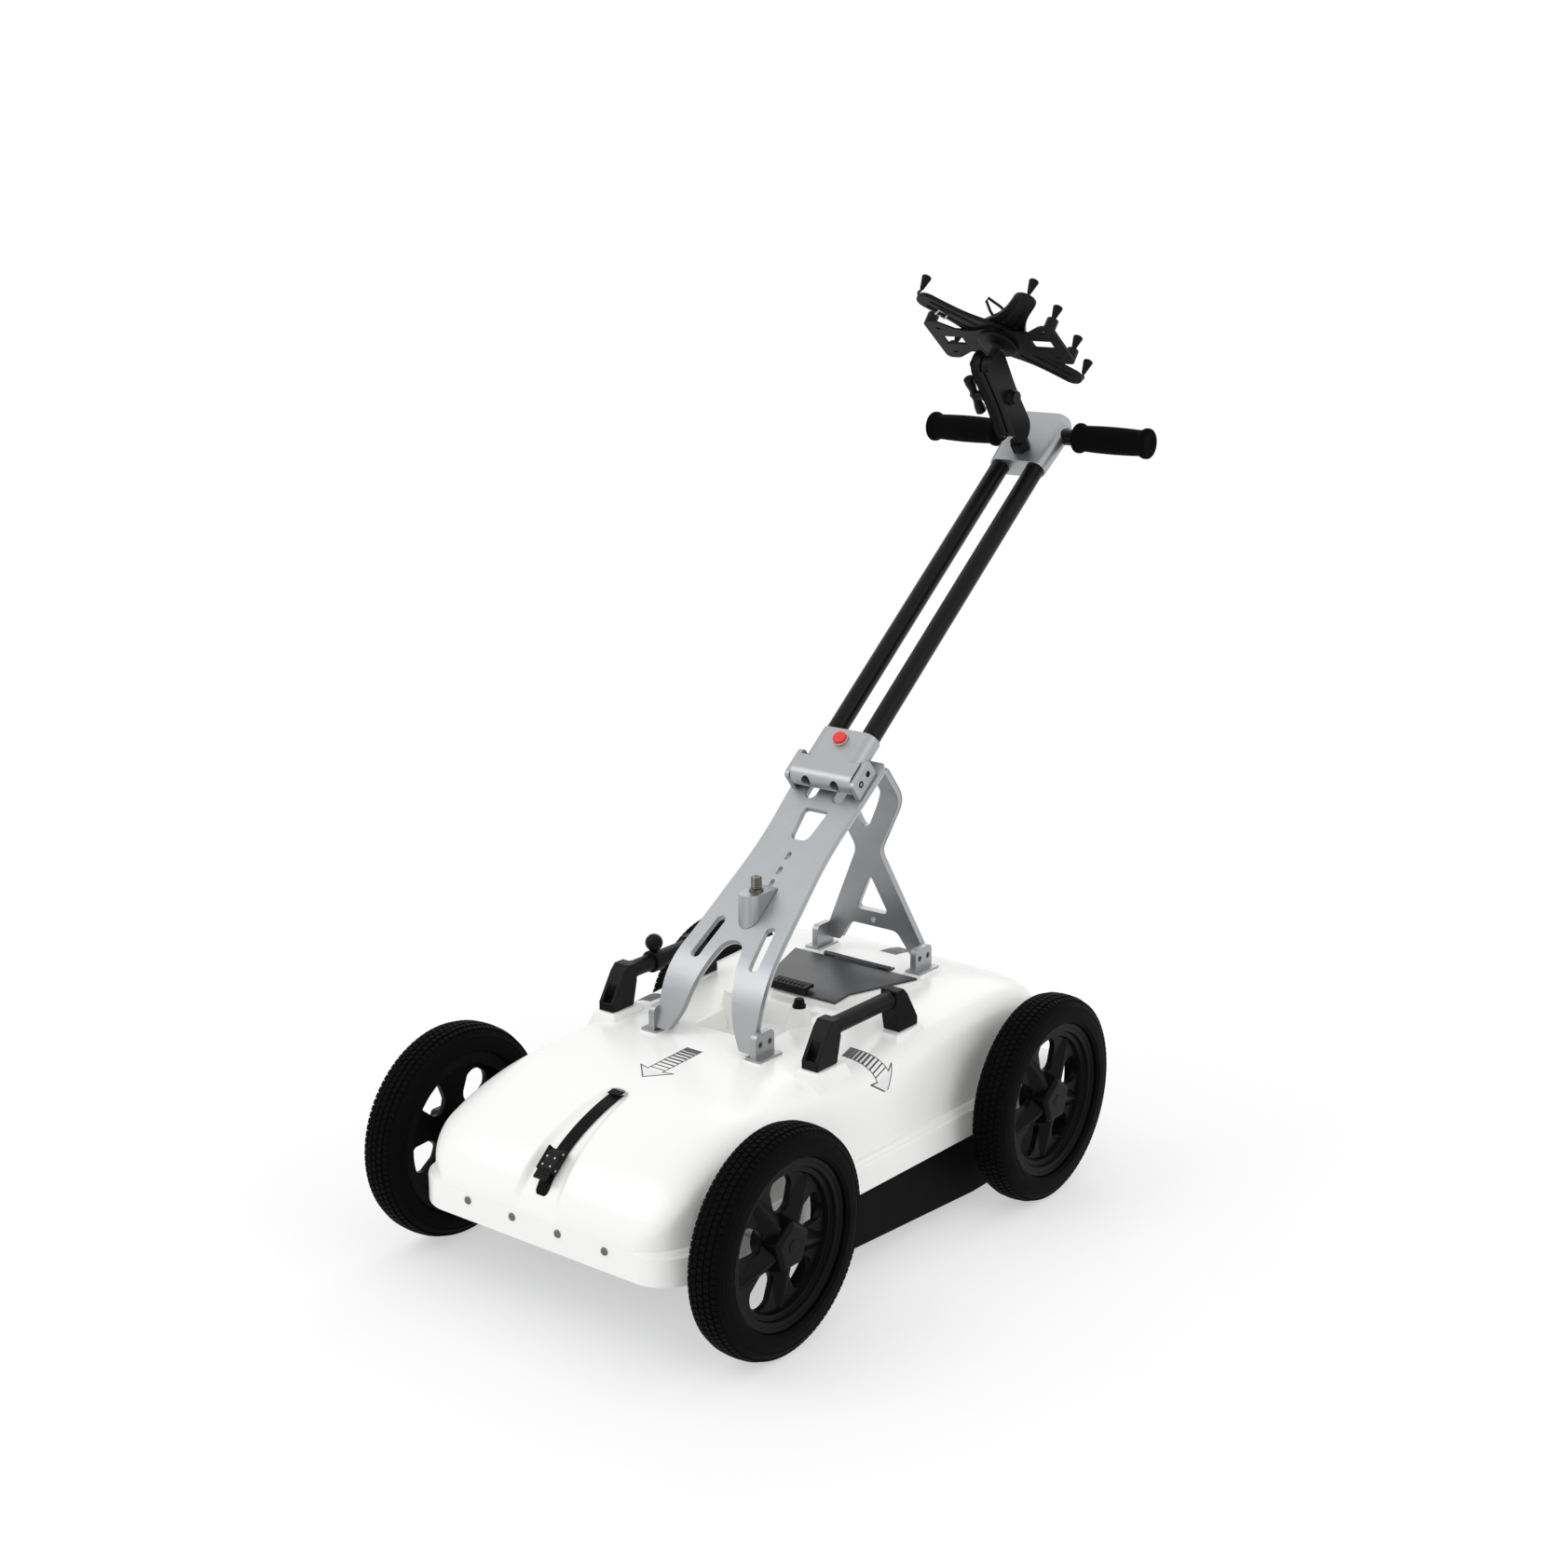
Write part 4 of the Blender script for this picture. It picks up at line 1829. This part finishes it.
class CART_OT_markings(bpy.types.Operator):
    """Plain arrows on the cover that point away from the antenna's middle"""

    bl_idname = "cart.markings"
    bl_label = "Markings"

    def execute(self, context):
        c = sizes(context.scene.cart_cover)
        # Each: the tail's middle, heading, length, half the shaft, the head's length, half its width
        places = (
            ("front", (-1, -115), -90, 107, 13, 26, 28),
            ("left", (167, 2), 12, 86, 14, 24, 27),
            ("right", (-167, 2), 168, 86, 14, 24, 27),
            ("rear", (0, 334), 90, 92, 14, 26, 28),
        )
        for name, (x, y), heading, along, shaft, head, barb in places:
            ink, fill = arrow_marks(along, shaft, head, barb)
            spin = turn(heading, "Z")
            for finish, outlines, lift in (("ink", ink, 0.4), ("film", fill, 0.25)):
                marks = self.film_on(c, outlines, lift, spin, Vector((x, y, 0)))
                put(f"arrow_{finish}_{name}", marks, finish, "chassis", HERE, (), 60, False)
        return {"FINISHED"}

    def film_on(self, c, outlines, lift, spin, tail):
        """Flat outlines cut fine and laid along the cover from the tail, that far above it."""
        farthest, pitch, depth = 120.0, 4, 0.6
        whole = bmesh.new()
        # Steps along each line, closer at its end, where the cover falls steeply
        reach = np.linspace(0, 1, 400) ** 0.6
        for outline in outlines:
            flat = bmesh.new()
            flat.faces.new([flat.verts.new((px, py, 0)) for px, py in outline])
            for axis in (0, 1):
                low = min(v.co[axis] for v in flat.verts)
                high = max(v.co[axis] for v in flat.verts)
                for cut in np.arange(math.ceil(low / pitch) * pitch, high, pitch):
                    origin, normal = Vector((0, 0, 0)), Vector((0, 0, 0))
                    origin[axis], normal[axis] = cut, 1
                    bmesh.ops.bisect_plane(
                        flat, geom=[*flat.verts, *flat.edges, *flat.faces], plane_co=origin, plane_no=normal
                    )
            under = bmesh.ops.extrude_face_region(flat, geom=flat.faces[:])
            sunk = {g for g in under["geom"] if isinstance(g, bmesh.types.BMVert)}
            for v in flat.verts:
                start = spin @ Vector((0, v.co.y, 0)) + tail
                ahead = spin @ Vector((1, 0, 0))
                limit = farthest
                if abs(ahead.x) > 0.5:
                    limit = min(limit, float(body_half(c, start.y)) - abs(start.x) - 0.05)
                q = limit * reach
                xs, ys = start.x + ahead.x * q, start.y + ahead.y * q
                zs = body_height(c, xs, ys)
                gone = np.concatenate([[0], np.cumsum(np.hypot(np.diff(q), np.diff(zs)))])
                here = float(np.interp(max(v.co.x, 0), gone, q))
                spot = start + ahead * (here + min(v.co.x, 0))
                slope = float(np.interp(max(v.co.x, 0), gone, np.gradient(zs, q)))
                out = (Vector((0, 0, 1)) - ahead * slope).normalized()
                spot.z = float(body_height(c, spot.x, spot.y))
                v.co = spot + out * (-depth if v in sunk else lift)
            bmesh.ops.recalc_face_normals(flat, faces=flat.faces)
            mesh = bpy.data.meshes.new("film")
            flat.to_mesh(mesh)
            flat.free()
            whole.from_mesh(mesh)
            bpy.data.meshes.remove(mesh)
        return whole


class CART_OT_stage(bpy.types.Operator):
    """Pale floor, soft light and the photograph's camera"""

    bl_idname = "cart.stage"
    bl_label = "Stage"

    def execute(self, context):
        s = sizes(context.scene.cart_stage)
        scene = context.scene
        scene.view_settings.view_transform = "Standard"
        self.floor(s)
        self.sky(s)
        for name, place_at, size, power in LAMPS:
            self.lamp(name, place_at, size, power)
        data = bpy.data.cameras.new("camera")
        data.lens, data.sensor_width = s.lens, 36
        data.clip_start, data.clip_end = 0.05, 50
        camera = bpy.data.objects.new("camera", data)
        scene.collection.objects.link(camera)
        camera.location = at(*CAMERA_AT) * MM
        camera.rotation_euler = [math.radians(angle) for angle in CAMERA_TURNS]
        scene.camera = camera
        return {"FINISHED"}

    def floor(self, s):
        """A floor that keeps the cart's shadow and fades into the white round it."""
        bm = bmesh.new()
        bmesh.ops.create_circle(bm, cap_ends=True, segments=96, radius=4.2)
        mesh = bpy.data.meshes.new("floor")
        bm.to_mesh(mesh)
        bm.free()
        made, tree, surface, coords = shader("Matt_white_floor", tuple(s.floor), 0.9, Specular_IOR_Level=0.0)
        away = node(tree, "ShaderNodeVectorMath", {0: coords}, operation="LENGTH")
        fade = node(
            tree,
            "ShaderNodeMapRange",
            {"Value": away.outputs["Value"], "From Min": 0.9, "From Max": 1.9},
            interpolation_type="SMOOTHSTEP",
        )
        # Part white to the camera, so that the shadow stays as light as in a studio cut-out
        glow = node(tree, "ShaderNodeEmission", {"Color": (1, 1, 1, 1), "Strength": 1.0})
        part = node(tree, "ShaderNodeMath", {0: self.seen(tree), 1: s.glow}, operation="MULTIPLY")
        lit = node(
            tree,
            "ShaderNodeMixShader",
            {0: part.outputs["Value"], 1: surface.outputs["BSDF"], 2: glow.outputs["Emission"]},
        )
        clear = node(tree, "ShaderNodeBsdfTransparent")
        mix = node(
            tree,
            "ShaderNodeMixShader",
            {0: fade.outputs["Result"], 1: lit.outputs["Shader"], 2: clear.outputs["BSDF"]},
        )
        tree.links.new(mix.outputs["Shader"], tree.nodes["Material Output"].inputs["Surface"])
        mesh.materials.append(made)
        obj = bpy.data.objects.new("floor", mesh)
        bpy.context.scene.collection.objects.link(obj)

    def seen(self, tree):
        """A socket that is 1 for rays from the camera and for those that metal or glass sends on."""
        path = node(tree, "ShaderNodeLightPath")
        seen = path.outputs["Is Camera Ray"]
        for also in ("Is Glossy Ray", "Is Transmission Ray"):
            either = node(tree, "ShaderNodeMath", {0: seen, 1: path.outputs[also]}, operation="MAXIMUM")
            seen = either.outputs["Value"]
        return seen

    def sky(self, s):
        """White behind the cart and in its metal, and softer light on it."""
        world = bpy.data.worlds.new("Studio")
        world.use_nodes = True
        tree = world.node_tree
        seen = self.seen(tree)
        strength = node(tree, "ShaderNodeMapRange", {"Value": seen, "To Min": s.sky, "To Max": 1.0})
        background = tree.nodes["Background"]
        background.inputs["Color"].default_value = (1, 1, 1, 1)
        tree.links.new(strength.outputs["Result"], background.inputs["Strength"])
        bpy.context.scene.world = world

    def lamp(self, name, place_at, size, power):
        """A square softbox that looks at the cart's middle."""
        data = bpy.data.lights.new(name, "AREA")
        data.size, data.energy = size, power
        obj = bpy.data.objects.new(name, data)
        obj.location = place_at
        obj.rotation_mode = "QUATERNION"
        obj.rotation_quaternion = (Vector(LAMPS_AIM) - obj.location).to_track_quat("-Z", "Y")
        bpy.context.scene.collection.objects.link(obj)


OPERATORS = (
    CART_OT_stage,
    CART_OT_chassis,
    CART_OT_cover,
    CART_OT_markings,
    CART_OT_strap,
    CART_OT_lid,
    CART_OT_carry_handles,
    CART_OT_frame,
    CART_OT_hinge,
    CART_OT_handle,
    CART_OT_device_arm,
    CART_OT_cradle,
    CART_OT_wheels,
)


class CART_PT_pieces(bpy.types.Panel):
    """Lists the cart's pieces and their settings"""

    bl_idname = "CART_PT_pieces"
    bl_label = "Radar cart"
    bl_space_type = "VIEW_3D"
    bl_region_type = "UI"
    bl_category = "Radar cart"

    def draw(self, context):
        for operator in OPERATORS:
            self.layout.operator(operator.bl_idname)
        for key, group in GROUPS.items():
            box = self.layout.box()
            box.label(text=group.__doc__.rstrip("."))
            settings = getattr(context.scene, key)
            for prop in group.__annotations__:
                box.prop(settings, prop)


CLASSES = (*GROUPS.values(), *OPERATORS, CART_PT_pieces)


def register():
    for cls in CLASSES:
        bpy.utils.register_class(cls)
    for key, group in GROUPS.items():
        setattr(bpy.types.Scene, key, PointerProperty(type=group))


def unregister():
    for key in GROUPS:
        delattr(bpy.types.Scene, key)
    for cls in reversed(CLASSES):
        bpy.utils.unregister_class(cls)


def main():
    register()
    make_finishes(bpy.context)
    for operator in OPERATORS:
        group, name = operator.bl_idname.split(".")
        getattr(getattr(bpy.ops, group), name)()


if __name__ == "__main__":
    main()
